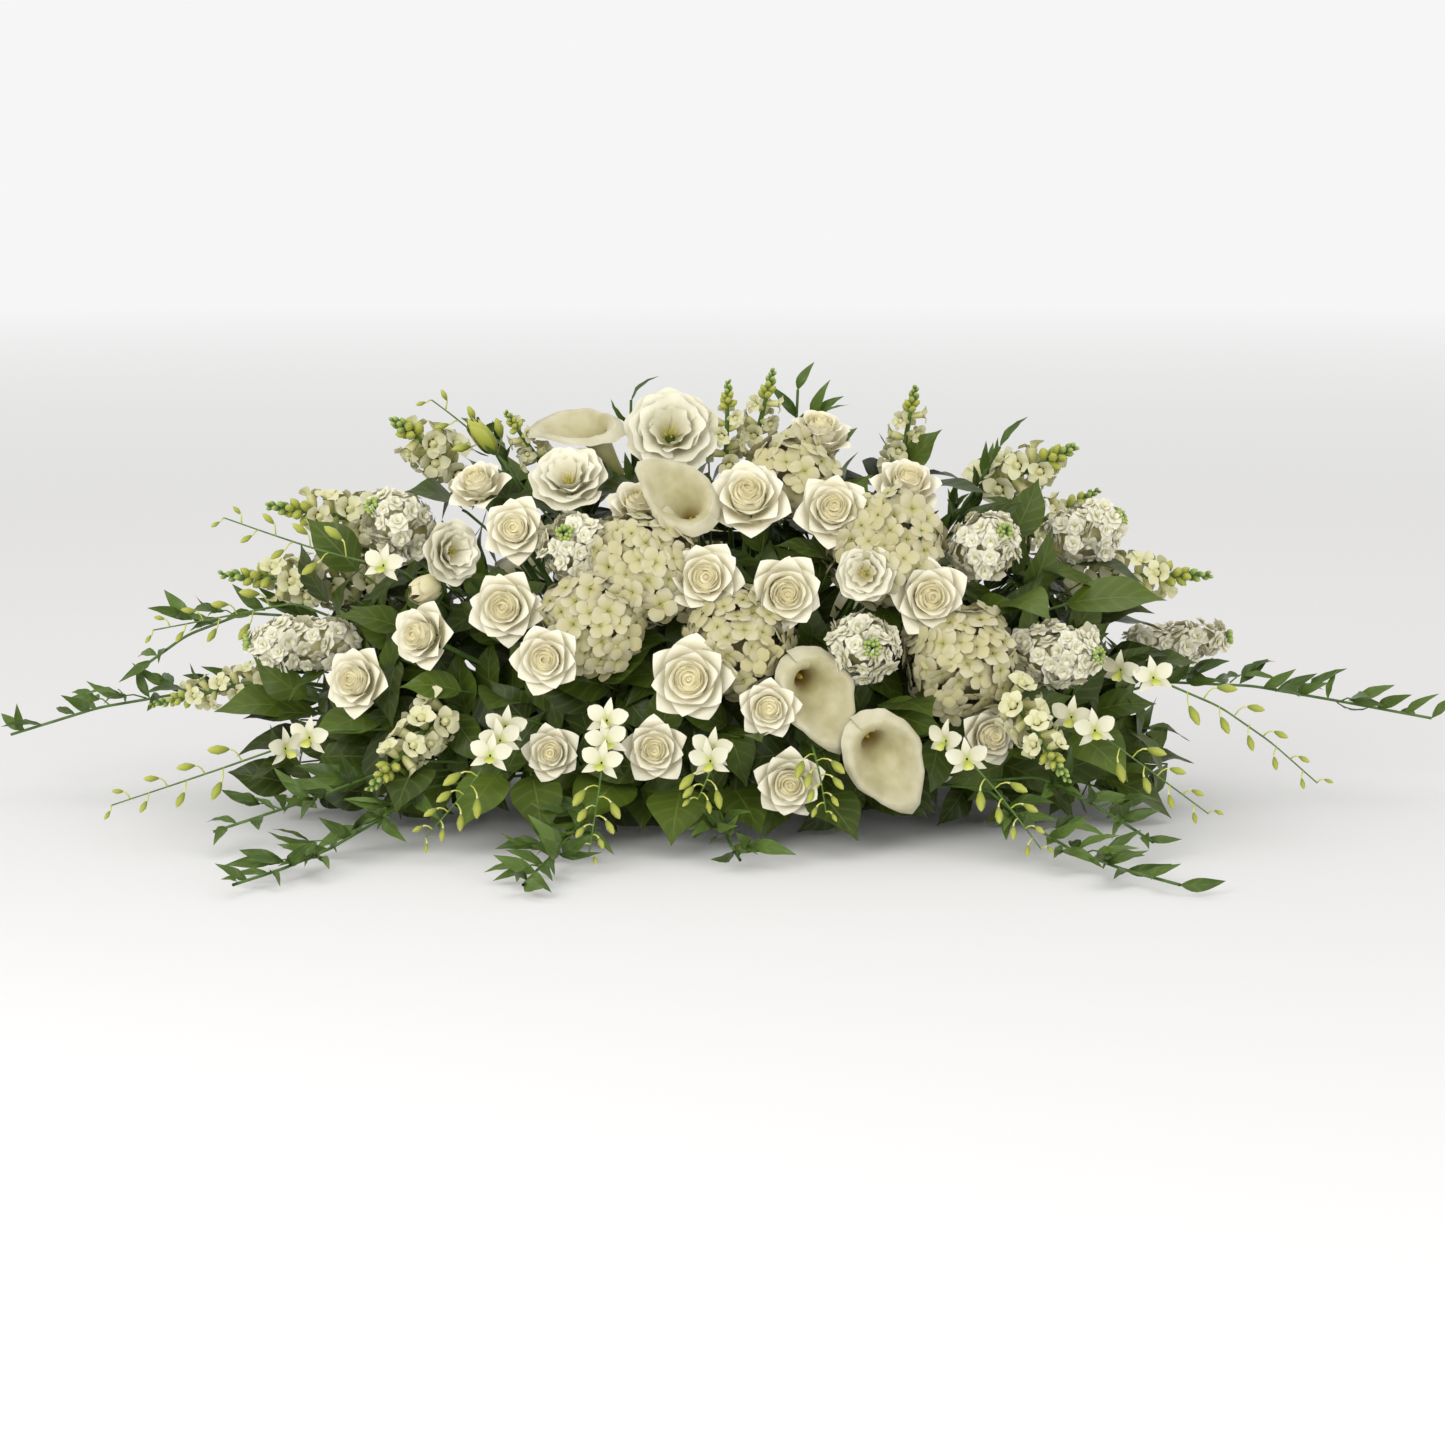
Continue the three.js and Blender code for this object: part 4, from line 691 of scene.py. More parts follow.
ROSE = petal_look(
    "rose_petals", [(0, 0xC8C57C), (0.3, 0xE9E2BF), (0.7, 0xEFEAD1), (1, 0xF1EDDA)], heart=0xEDE5BE)
LISI = petal_look(
    "lisianthus_petals", [(0, 0xB3BA60), (0.25, 0xDDD8B1), (0.5, 0xE9E5CD), (1, 0xEBE8D3)], ribs=14)
CALLA_OUT = petal_look(
    "calla_outside", [(0, 0xA3A55E), (0.3, 0xC0BB84), (0.6, 0xC4BE9A), (1, 0xD0CBB2)],
    ribs=18, rough=0.42, bump=0.3, cloud=0xDDD9C2)
# The inside of a calla is darker than its outside and golden brown at its foot: painted shade down in the
# throat of the funnel.
CALLA_IN = petal_look(
    "calla_inside", [(0, 0x8E6A24), (0.3, 0xB39C58), (0.5, 0xB6AE80), (0.8, 0xC0B996), (0.94, 0xD0CBB2)],
    ribs=18, rough=0.42, bump=0.3, cloud=0xD6D2B6)
# The heart colour of the hydrangea is painted shade, given to the florets set deeper in the ball.
HYDRA = petal_look(
    "hydrangea_florets", [(0, 0xA4A55E), (0.25, 0xC0B987), (0.8, 0xC6C0A1), (1, 0xC4BE9A)],
    heart=0xC0B98A, heart_share=0.55, ribs=8)
STOCK_PETALS = petal_look(
    "stock_florets", [(0, 0xC5C97D), (0.3, 0xDEDABB), (0.65, 0xE3E0CA), (1, 0xE5E2CE)], ribs=6)
SNAP = petal_look(
    "snapdragon_petals", [(0, 0xB2B65E), (0.3, 0xCFCC8E), (0.7, 0xDAD7AB), (1, 0xDCDAB8)], ribs=7)
ORCHID = petal_look("orchid_petals", [(0, 0xBDC36C), (0.3, 0xDFDCBF), (1, 0xE5E3CF)], ribs=11)
LIP = petal_look("orchid_lips", [(0, 0x9DA934), (0.5, 0xC4C959), (1, 0xDDDB9B)])
BUDS = petal_look(
    "yellow_green_buds", [(0, 0x77862F), (0.4, 0x9BA23A), (1, 0xB5B954)], ribs=5, rough=0.4)
CREAM_BUDS = petal_look("cream_buds", [(0, 0xB3B66C), (0.35, 0xD3CC99), (1, 0xDFD7B3)], ribs=12)
GREEN_BUDS = petal_look("green_buds", [(0, 0x3F5A24), (0.5, 0x6C8838), (1, 0xB4C368)], ribs=5)
YELLOW = plain_look("stamens", [(0.3, 0xD9B93A), (0.7, 0xECD760)], 300, 0.7, 0.6, 0.0005)
STEMS = plain_look("stems", [(0.3, 0x3F5A24), (0.7, 0x5F7B34)], 60, 0.5, 0.2, 0.0004)
SALAL_LEAF = leaf_look("salal_leaves", 0x2C380F, 0x5A6E21, 0x84944A, 9, 0.42)
RUSCUS_LEAF = leaf_look("ruscus_leaves", 0x314617, 0x5F7831, 0x8EA25C, 3, 0.4)
PLASTIC = plain_look("moulded_plastic", [(0.35, 0x223C2A), (0.65, 0x2F4F38)], 18, 0.5, 0.15, 0.0003)
FOAM = plain_look("wet_foam", [(0.3, 0x2C5334), (0.7, 0x47784F)], 240, 0.95, 0.9, 0.0012, specular=0.1)


# Flower heads. Each has its foot at 0, faces +Z and has radius 1 until put sets it on its stem.

# Layers of a rose from the outside in: petals, then belly, neck and rim as (radius, height), half the
# angle that a petal spans, how far its sides bend back, how much lower they end, and its tone
ROSE_LAYERS = (
    (5, (0.78, 0.04), (0.66, 0.6), (1.06, 0.4), 0.78, 0.2, 0.44, 1),
    (5, (0.62, 0.08), (0.52, 0.74), (0.89, 0.66), 0.8, 0.17, 0.4, 0.85),
    (5, (0.5, 0.12), (0.38, 0.86), (0.65, 0.85), 0.9, 0.12, 0.26, 0.7),
    (5, (0.42, 0.16), (0.27, 0.94), (0.45, 0.95), 1, 0.06, 0.16, 0.5),
    (4, (0.34, 0.2), (0.2, 0.94), (0.3, 1.01), 1.25, 0.035, 0.1, 0.3),
    (3, (0.26, 0.25), (0.15, 0.92), (0.18, 1.04), 1.7, 0.015, 0.06, 0.12),
    (3, (0.18, 0.3), (0.12, 0.9), (0.07, 1), 2.2, 0, 0.04, 0),
)
ROSE_CORE = ((0.4, 0.4), (0.4, 0.66), (0.26, 0.84), (0.1, 0.92), (0.01, 0.93))

# Layers of a lisianthus in the same way, without the bend and the cut
LISIANTHUS_LAYERS = (
    (5, (0.52, 0), (0.7, 0.44), (1, 0.46), 0.86, 1),
    (5, (0.46, 0.04), (0.52, 0.62), (0.88, 0.66), 0.84, 0.8),
    (5, (0.38, 0.1), (0.38, 0.66), (0.68, 0.82), 0.86, 0.6),
    (4, (0.3, 0.14), (0.3, 0.62), (0.44, 0.84), 0.9, 0.4),
)


def sepals(put, size=1):
    """Five green sepals and the swelling under a flower."""
    shape = blade(6, 3, 0.62, 0.2, POINTED, arch=0.05, droop=0.16)
    for a in circle(5) + 0.4:
        put(shape @ laying(around(1, a, 0.25), [0, 0, 1]).T * size, STEMS)
    put(bud_sheet(0.3, 0.13, 6, 8, 0.5) - [0, 0, 0.1], STEMS, ring=True)


def rose_head(put, h):
    for i, (n, belly, neck, rim, half, roll, cut, tone) in enumerate(ROSE_LAYERS):
        controls = profiles(n, (0.08, 0.04), belly, neck, rim)
        controls[:, 2:] *= rng.normal(1, 0.03, (n, 1, 1))
        theta = circle(n) + 0.63 * i + rng.normal(0, 0.08, n)
        sheets = cup_petals(theta, controls, half * rng.normal(1, 0.06, n), 10, 13, cut, 1.12,
                            0.1 if i > 3 else 0.05, roll, 0.01 + 0.014 * tone, 4)
        put(sheets, ROSE, np.clip(tone + rng.normal(0, 0.04, n), 0, 1))
    core = np.array(ROSE_CORE)[:, :, None]
    put(around(core[:, 0], circle(12), core[:, 1]), ROSE, 0.15, ring=True, span=(0.6, 1))
    sepals(put)


def lisianthus_head(put, h):
    for i, (n, belly, neck, rim, half, tone) in enumerate(LISIANTHUS_LAYERS):
        controls = profiles(n, (0.06, 0.04), belly, neck, rim)
        controls[:, 3] += rng.normal(0, 0.03, (n, 2))
        theta = circle(n) + 0.7 * i + rng.normal(0, 0.1, n)
        put(cup_petals(theta, controls, half, 11, 15, 0.12, 2.4, 0.05, 0.03, 0.045, 7), LISI, tone)
    stamen = bud_sheet(0.34, 0.02, 5, 5, 0.8)
    for a in circle(5):
        put(stamen @ standing(around(0.3, a, 1)).T + around(0.06, a, 0.26), YELLOW, ring=True)
    put(bud_sheet(0.5, 0.05, 6, 7, 0.5) + [0, 0, 0.14], BUDS, ring=True)
    sepals(put, 0.8)


def floret(rings, rows, columns, ruffle):
    """A small flower of flat petals: rings of (petals, length, width, lift from level, height, turn)."""
    out = []
    for n, length, width, lift, height, turn in rings:
        for k in range(n):
            p = blade(rows, columns, length, width, ROUND, arch=0.05 * length, cup=-0.1,
                      ruffle=ruffle, phase=k * 1.7, droop=0.18 * length)
            c, s = cos(lift), sin(lift)
            out.append(set_round(p, 0.06 * length + p[..., 2] * c - p[..., 1] * s,
                                 height + p[..., 2] * s + p[..., 1] * c, turn + TURN * k / n))
    return np.array(out)


HYDRA_FLORET = floret([(4, 0.98, 1.02, 0.3, 0, 0.3)], 5, 5, 0.05)
STOCK_FLORET = floret([(5, 0.82, 0.8, 0.05, 0, 0), (5, 0.64, 0.66, 0.45, 0.06, 0.6),
                       (3, 0.42, 0.52, 0.95, 0.1, 0.2)], 4, 4, 0.08)


def upright(h, direction, lean=0, spin=0):
    """The rotation within a head that turns +Z to a direction, without the roll of the head."""
    return h["turn"].T @ standing(h["turn"] @ unit(direction) + lean, spin)


def scatter(put, h, sheets, material, places, normals, sizes, lean, tones=None):
    """Copies of a small flower, each turned and leaned by chance."""
    for k, (place, normal, size) in enumerate(zip(places, normals, sizes)):
        turn = upright(h, normal, rng.normal(0, lean, 3), rng.uniform(*ANY_ANGLE))
        tone = rng.uniform(0, 1) if tones is None else tones[k]
        put(sheets * size @ turn.T + place, material, tone)


def hydrangea_head(put, h):
    size = FLORET["hydrangea"] / h["r"]
    count = int(1.75 * 3.6 / size ** 2)
    z = 1 - 1.78 * (np.arange(count) + 0.5) / count
    a = GOLDEN * np.arange(count) + rng.normal(0, 0.1, count)
    normals = around(np.sqrt(1 - z ** 2), a, z)
    swell = np.sin(normals @ rng.normal(0, 2.4, (3, 4)) + rng.uniform(*ANY_ANGLE, 4)).mean(1)
    reach = 1 + 0.1 * swell + rng.normal(0, 0.035, count)
    places = normals * [0.9, 0.9, 0.8] * reach[:, None] + [0, 0, 0.583]
    # Florets that lie deeper in the ball, where swell is low, take more of the darker heart colour: painted
    # shade in the hollows, with some tone by chance as well.
    tones = np.clip(0.5 + 0.6 * swell + rng.normal(0, 0.25, count), 0, 1)
    sizes = size * rng.uniform(0.82, 1.15, count)
    scatter(put, h, HYDRA_FLORET, HYDRA, places, normals / [1, 1, 0.8], sizes, 0.3, tones)
    for p, n in zip(places, normals):
        put(bud_sheet(0.2, 0.08, 4, 5) * size @ upright(h, n).T + p, BUDS, 0.9, ring=True)
    # The ball under the florets has the full darker heart colour, painted shade in the gaps between them.
    put(bud_sheet(1.14, 0.66, 10, 14, 0.5), HYDRA, 0, ring=True, span=(0, 0.3))


def stock_head(put, h):
    r, long = h["r"], h["long"] / h["r"]
    size = FLORET["stock"] / r
    count = int(3 * 0.8 * long / size ** 2)
    u = ((np.arange(count) + 0.5) / count) ** 0.92
    a = GOLDEN * np.arange(count)
    swell = np.sin(pi * (0.2 + 0.66 * u)) ** 0.5
    radius = (0.82 * swell - 0.06) * np.interp(u, [0, 0.82, 1], [1, 1, 0.4]) + rng.normal(0, 0.06, count)
    normals = around(1, a, np.interp(u, [0, 0.3, 0.8, 1], [-0.5, -0.1, 0.5, 1.6]))
    scatter(put, h, STOCK_FLORET, STOCK_PETALS, around(radius, a, 0.12 + (long - 0.35) * u), normals,
            size * rng.uniform(0.75, 1.2, count), 0.4)
    tips = 14
    for j in range(tips):
        out = 0.16 * sqrt((j + 0.5) / tips)
        bud = bud_sheet(9 / r, 3.2 / r, 5, 6) @ upright(h, around(0.6, GOLDEN * j, 1)).T
        place = around(out, GOLDEN * j, long - 0.2 - 0.25 * out)
        put(bud + place, GREEN_BUDS, rng.uniform(0.3, 1), ring=True)
    core = around(0, 0, np.array([0.1, 0.35, long * 0.6, long * 0.84]))
    put(rod(core, [0.3, 0.52, 0.46, 0.14], 10), CREAM_BUDS, 0.2, ring=True, span=(0, 0.6))


def snapdragon_floret():
    """The tube, lips and palate of a flower along +Z of length 1, with its upper lip towards +Y."""
    v = np.linspace(0, 1, 5)[:, None]
    tube = around(np.interp(v, [0, 0.3, 0.7, 1], [0.1, 0.17, 0.19, 0.2]), circle(7), 0.62 * v) * [1.1, 1, 1]
    petals = []
    for middle, length, width, back in ((60, 0.54, 0.56, 0.35), (120, 0.54, 0.56, 0.35),
                                        (212, 0.46, 0.48, 0.75), (270, 0.44, 0.46, 0.85),
                                        (328, 0.46, 0.48, 0.75)):
        p = blade(5, 5, length, width, ROUND, arch=0.05, cup=0.15, ruffle=0.05, phase=middle)
        rise = np.sin(pi / 2 * v) * back
        petals.append(set_round(p, 0.12 + p[..., 2] * (0.28 + rise * 0.9),
                                0.58 + p[..., 2] * (1 - rise) * 0.9 + p[..., 1], radians(middle)))
    return tube, np.array(petals), bud_sheet(0.34, 0.19, 5, 6) + [0, -0.06, 0.46]


SNAP_TUBE, SNAP_LIPS, SNAP_PALATE = snapdragon_floret()
SNAP_FOOT = bud_sheet(0.22, 0.13, 4, 6)


def snapdragon_head(put, h):
    r, long = h["r"], h["long"] / h["r"]
    blooms = max(8, int(0.72 * h["long"] / 7))
    for k in range(blooms):
        s = 0.04 + 0.68 * k / blooms
        reach = np.interp(s, [0, 0.72], [1.1, 0.74])
        a = GOLDEN * k
        along = unit(around(1, a, 0.35) + rng.normal(0, 0.1, 3))
        upper = unit([0, 0, 1] - along * along[2])
        turn = np.stack([np.cross(upper, along), upper, along], 1)
        tone = rng.uniform(0.4, 1)
        for sheets, material, shade, ring, span in (
            (SNAP_TUBE, SNAP, tone, True, (0, 0.5)), (SNAP_LIPS, SNAP, tone, False, (0.4, 1)),
            (SNAP_PALATE, SNAP, tone, True, (0.3, 0.5)), (SNAP_FOOT, GREEN_BUDS, 0.3, True, (0, 1)),
        ):
            put(sheets * reach @ turn.T + around(0.06, a, long * s), material, shade, ring=ring, span=span)
    count = 15
    for k in range(count):
        s = 0.7 + 0.29 * k / (count - 1)
        late = (s - 0.7) / 0.3
        a = GOLDEN * (k + blooms)
        length = np.interp(late, [0, 1], [0.52, 0.2])
        turn = upright(h, around(1, a, np.interp(late, [0, 1], [0.6, 2.5])))
        bud = bud_sheet(length, length * 0.34, 5, 6) @ turn.T
        put(bud + around(0.03, a, long * s), BUDS if late < 0.45 else GREEN_BUDS,
            rng.uniform(0.3, 1) * (1 - 0.6 * late), ring=True)
    stalk = around(0, 0, long * np.array([0, 0.5, 0.8, 1]))
    put(rod(stalk, [0.09 + 1 / r, 0.07 + 1 / r, 0.05 + 0.8 / r, 0.8 / r]), STEMS, ring=True)


def calla_head(put, h):
    v = np.linspace(0, 1.14, 20)[:, None]
    u = np.linspace(-1, 1, 41)[None, :]
    angle = u * (pi + 0.3)
    toward = np.cos(angle)
    tip = np.maximum(0, toward)
    w = np.minimum(v, 1)
    horn_r = np.interp(w, [0, 0.25, 0.5, 0.72, 1], [0.1, 0.17, 0.25, 0.34, 0.54])
    horn_z = np.interp(w, [0, 0.25, 0.5, 0.72, 1], [0, 0.46, 0.88, 1.22, 1.5])
    rim_r = 0.78 + 0.16 * toward + 0.34 * tip ** 6
    rim_z = 1.6 + 0.46 * toward + 0.1 * tip ** 6
    blend = np.clip((w - 0.55) / 0.45, 0, 1) ** 1.8
    over = np.maximum(v - 1, 0) / 0.14
    curl = np.maximum(0.3, np.abs(np.sin(angle / 2)) + 0.35)
    radius = horn_r * (1 - blend) + rim_r * blend + 0.1 * over * curl
    height = horn_z * (1 - blend) + rim_z * blend - 0.15 * over ** 1.5 * curl
    radius = radius * (1 + 0.1 * np.clip(np.abs(u) - 0.86, 0, 1) / 0.14 * np.sign(u))
    radius = radius * (1 + (0.02 * np.sin(5 * angle + 1) + 0.018 * np.sin(11 * angle)) * blend)
    radius = radius + 0.24 * tip ** 40 * over
    height = height + 0.02 * np.sin(9 * angle + 2) * blend - 0.1 * tip ** 40 * over
    thin = 0.026
    outside, inside = around(radius, angle, height), around(radius - thin, angle, height + thin * 0.6)
    inside[-1] = outside[-1]
    put(outside, CALLA_OUT, 1)
    put(inside[:, ::-1], CALLA_IN, 1)
    z = np.linspace(0.3, 0.86, 16)
    bumps = 1 + 0.08 * np.sin(np.arange(16) * 2.4)
    spadix_r = 0.06 * np.interp(z, [0.3, 0.7, 0.8, 0.86], [1, 1, 0.7, 0.05]) * bumps
    put(rod(around(0, 0, z), spadix_r, 10), YELLOW, 0.6, ring=True)


MAKERS = dict(rose=rose_head, lisianthus=lisianthus_head, calla=calla_head, hydrangea=hydrangea_head,
              stock=stock_head, snapdragon=snapdragon_head)


def orchid_flower():
    """The petals and the lip of a flower that faces +Z."""
    petals = []
    for middle, length, width, shape, lift in (
        (90, 0.98, 0.46, POINTED, 0.15), (215, 0.92, 0.46, POINTED, 0.1), (325, 0.92, 0.46, POINTED, 0.1),
        (25, 0.95, 0.76, ROUND, 0.22), (155, 0.95, 0.76, ROUND, 0.22),
    ):
        p = blade(7, 5, length, width, shape, arch=0.06, cup=0.18, ruffle=0.03, droop=0.12)
        petals.append(set_round(p, 0.05 + p[..., 2] * cos(lift) - p[..., 1] * sin(lift),
                                0.32 + p[..., 2] * sin(lift) + p[..., 1], radians(middle)))
    p = blade(7, 7, 0.62, 0.52, ROUND, cup=0.9, ruffle=0.06, waves=8)
    lip = np.stack([p[..., 0], -0.06 - 0.55 * p[..., 2], 0.34 + 0.55 * p[..., 2] + p[..., 1]], -1)
    return np.array(petals), lip


ORCHID_PETALS, ORCHID_LIP = orchid_flower()
ORCHID_R, ORCHID_BUD = 25, dict(long=25, r=5.8, pedicel=15, floor=7)


def add_spray(piece, way, flowers, buds):
    """Orchid flowers along a way, then buds on bent pedicels, smaller towards its end."""
    points = spaced(way, 24)
    total = flowers + buds
    for i in range(flowers):
        at, along = along_way(points, (i + 0.6) / total)
        side = 1 if i % 2 else -1
        face = [0.4 * side, -1, 0.1] - sideways(along, i) * 0.3 + rng.normal(0, 0.22, 3)
        turn = standing(face, 0.2 * side)
        # the upper sepal points up
        top = turn[2]
        turn = turn @ standing([0, 0, 1], atan2(top[1], top[0]) - pi / 2 + 0.15 * side)
        piece.add(ORCHID_PETALS * ORCHID_R, ORCHID, rng.uniform(0.5, 1, 5), turn, at)
        piece.add(ORCHID_LIP * ORCHID_R, LIP, 0.5, turn, at)
        piece.add(rod([at, at + unit(face) * 8], [1.1, 1.4], 6), STEMS, 0.7, ring=True)
    late = int(buds * 1.7)
    first = (flowers + 0.3) / total
    for i in range(late):
        at, along = along_way(points, first + (1 - first) * (i + 0.95) / late)
        size = 1 - 0.62 * i / late
        across = unit(np.cross(FRONT, along)) * (1 if i % 2 else -1)
        aim = unit(across + along * 0.4 + [0, 0.4 * sin(2.4 * i) - 0.4, 0])
        out = at + (aim * ORCHID_BUD["pedicel"] + [0, 0, 3]) * size
        end = out + (aim + along * 0.5 + [0, 0, -0.25]) * 4 * size
        end[2] = max(end[2], ORCHID_BUD["floor"])
        pedicel = rod([at, (at + out) / 2 + [0, 0, 2 * size], out, end], [1, 0.8, 0.9, 1.4], 5)
        piece.add(pedicel, LIP, 0.4, ring=True)
        lay = unit(aim * 0.9 + along * 0.8 + [0, 0, -0.4])
        long = ORCHID_BUD["long"] * size
        if end[2] + lay[2] * long < ORCHID_BUD["floor"]:
            lay = unit([lay[0], lay[1], 0.05])
        bud = bud_sheet(long, ORCHID_BUD["r"] * size, 7, 7, 0.5)
        piece.add(bud, BUDS, rng.uniform(0.3, 1), standing(lay), end, ring=True)


# Leaves


def sideways(along, i):
    """The level direction across a way, to its two sides in turn."""
    return unit([-along[1], along[0], 0]) * (1 if i % 2 else -1)


def add_leaf(piece, shape, material, tone, root, direction, face):
    """A leaf whose tip rises where it would go through the floor."""
    points = shape @ laying(direction, face).T + root
    share = np.linspace(0, 1, len(points))[:, None]
    for _ in range(4):
        points[..., 2] += max(0, 4 - points[..., 2].min()) * 1.3 * share
    piece.add(points, material, tone)


def salal_leaf(piece, root, direction, face, length, width, tone=None):
    shape = blade(11, 7, length, width, SALAL, arch=7, fold=0.16, ruffle=2.6, waves=3,
                  phase=rng.uniform(0, 6), droop=rng.uniform(-2, 14), bend=rng.uniform(-6, 6))
    add_leaf(piece, shape, SALAL_LEAF, rng.uniform(0, 1) if tone is None else tone, root, direction, face)


def vine_leaf(piece, root, direction, length):
    """A narrow leaf, above the floor and off the faces of the flowers."""
    direction = unit(direction)
    direction[2] += max(0, (9 - root[2]) / length - direction[2])
    face = unit([0, -1, 0.6] + rng.normal(0, 0.45, 3))
    width = length * rng.uniform(0.22, 0.34)
    if not over_flower(root, direction, length):
        shape = blade(9, 5, length, width, RUSCUS, arch=4, fold=0.28, ruffle=0.8,
                      droop=rng.uniform(-8, 12), bend=rng.uniform(-13, 13))
        add_leaf(piece, shape, RUSCUS_LEAF, rng.uniform(0.2, 1), root, direction, face)


def over_flower(at, direction, length):
    """Whether a leaf from at would lie across the face of a flower."""
    gap = (at + direction * length * np.array([[0.3], [0.65], [1]]))[:, None] - FEET
    up = (gap * FACES).sum(-1)
    aside = norm(gap - up[..., None] * FACES, axis=-1)
    over = (up > 0) & (up < 1.9 * RADII) & (aside < 0.85 * RADII)
    gap = gap - FACES * (MIDDLES * RADII)[:, None]
    near = gap @ FRONT
    aside = norm(gap - near[..., None] * FRONT, axis=-1)
    before = (MIDDLES > 0) & (near > 0) & (aside < 0.75 * RADII)
    return bool((over | before).any())


def add_vine_leaves(piece, way, leaves):
    """Leaves along a way and on twigs that leave it, on its two sides in turn."""
    points = spaced(way, 24)
    for i in range(leaves * 2):
        share = min(1, (i + 0.7 + rng.uniform(-0.6, 0.6)) / (leaves * 2))
        at, along = along_way(points, share)
        roll = rng.uniform(-0.3, 1.5)
        aim = along * rng.uniform(0.3, 1.6) + sideways(along, i) * cos(roll) + [0, 0, sin(roll)]
        vine_leaf(piece, at, aim, (66 - 20 * share) * rng.uniform(0.7, 1.1))
    twigs = int(leaves * 0.7)
    for i in range(twigs):
        at, along = along_way(points, 0.08 + 0.7 * (i + rng.uniform(0, 0.8)) / twigs)
        level = sideways(along, i)
        aim = unit(along * 0.9 + level * rng.uniform(0.5, 1.1) + [0, 0, rng.uniform(0, 0.6)])
        end = at + aim * rng.uniform(20, 38)
        end[2] = max(end[2], 8)
        piece.add(rod([at, (at + end) / 2 + [0, 0, 3], end], [1.1, 0.9, 0.8], 5), STEMS, 0.4, ring=True)
        for j in (-1, 0, 1):
            vine_leaf(piece, end - aim * 8 * abs(j), aim + 0.8 * j * level + rng.normal(0, 0.15, 3),
                      rng.uniform(36, 56))


def add_whorl(piece, tip, out, turn, back):
    """Eight leaves round the tip of a branch, in rings that follow back along its stem."""
    for j in range(8):
        ring = j // 3
        a = TURN * j / 3 + (0, pi / 3, pi / 2)[ring]
        length = WHORL["long"] * (1, 0.86, 0.8)[ring]
        direction = turn @ around(1, a, 0.06 + 0.1 * ring)
        at = tip + back * (0, 26, 52)[ring]
        if not over_flower(at, direction, length):
            salal_leaf(piece, at, direction, out, length, length * 0.5, rng.uniform(0, 0.9))


def side_bud(piece, plant, place, aim, length, radius, material):
    """A shut bud on a branch of the plant's own stem."""
    fork, _ = along_way(plant["ways"][0], 0.6)
    way = spaced([fork, (fork + place) / 2 - unit(aim) * 12, place], 8)
    piece.add(rod(way, 1.5, 6), STEMS, 0.5, ring=True)
    turn = standing(aim)
    for n, size, rim, half in ((4, 1, 0.66, 0.95), (3, 0.92, 0.42, 1.25), (3, 0.84, 0.16, 1.5)):
        controls = profiles(n, (0.2, 0), (1.25, 0.1), (0.95, 0.8), (rim, 1.04))
        controls = controls * [radius * size, length * (2 - size)]
        sheets = cup_petals(circle(n) + 3 * size, controls, half, 10, 11, 0.3, 1.6, 0.12, 0, 1.1, 4)
        piece.add(sheets, material, 0.7, turn, place)
    shape = blade(6, 3, length * 0.55, radius * 0.5, POINTED, arch=2, droop=-3)
    for a in circle(4):
        m = laying(around(0.35, a, 1), around(1, a, 0))
        piece.add(shape @ m.T + around(radius * 0.75, a, 0), STEMS, 0.6, turn, place)


# Filler branches: the field that they spread over, half the foam, the steps that spread them and their
# lowest height
FILL = dict(half=540, rise=400, foam=(205, 40), steps=(0.754877666, 0.569840296, 0.377), floor=8)


def fill(name, places, rear):
    """Leafy branches under the flowers, from the foam to just below the dome."""
    piece = Piece(name)
    for k, (x, z, depth) in enumerate(places):
        tip = on_dome(x, z, -depth, rear)
        end, side = FILL["foam"]
        foam = [np.clip(x * 0.45, -end, end), np.clip(tip[1] * 0.3, -side, side), BRICK["top"] - 6]
        if z < 120:
            foam = [np.clip(x * 0.6, -end, end), copysign(50, tip[1]), 40 + 30 * rng.uniform()]
        foam = np.array(foam)
        points = spaced([foam, (foam + tip) / 2 + [0, 0, 12], tip], 10)
        piece.add(rod(points, np.linspace(1.8, 1.1, len(points)), 5), STEMS, 0.4, ring=True)
        out = unit(tip - [x * 0.4, 0, 90])
        for j in range(4):
            at, _ = along_way(points, 1 - 0.1 * j)
            a = GOLDEN * (k * 5 + j)
            direction = unit([cos(a), 0.25 * sin(a), sin(a)] + out * rng.uniform(0.1, 0.45))
            length = rng.uniform(62, 92)
            if at[2] + direction[2] * length < FILL["floor"]:
                direction = unit([direction[0], direction[1], (FILL["floor"] - at[2]) / length])
            wide, tone = rng.uniform(0.5, 0.66), rng.uniform(0, 0.8)
            if not over_flower(at, direction, length):
                salal_leaf(piece, at, direction, out + [0, 0, 0.4], length, length * wide, tone)
    piece.finish(None)


def fill_places(count):
    """Spots spread over the dome as seen from the front, with their depths below it."""
    out = []
    k = 0
    while len(out) < count:
        k += 1
        across, up, deep = [k * step % 1 for step in FILL["steps"]]
        x, z = 1100 * across - 550, 30 + 380 * up
        if outward(x, z, FILL["half"], FILL["rise"]) < 1:
            out.append((x, z, 46 + 30 * deep + 16 * (abs(x) / FILL["half"]) ** 2))
    return out


# Pieces: one for each plant, in place of its solid, and the filler leaves. VIEW is how far the camera
# looks down, in degrees, and FRONT points to it.

VIEW = 9
FRONT = np.array([0, -cos(radians(VIEW)), sin(radians(VIEW))])
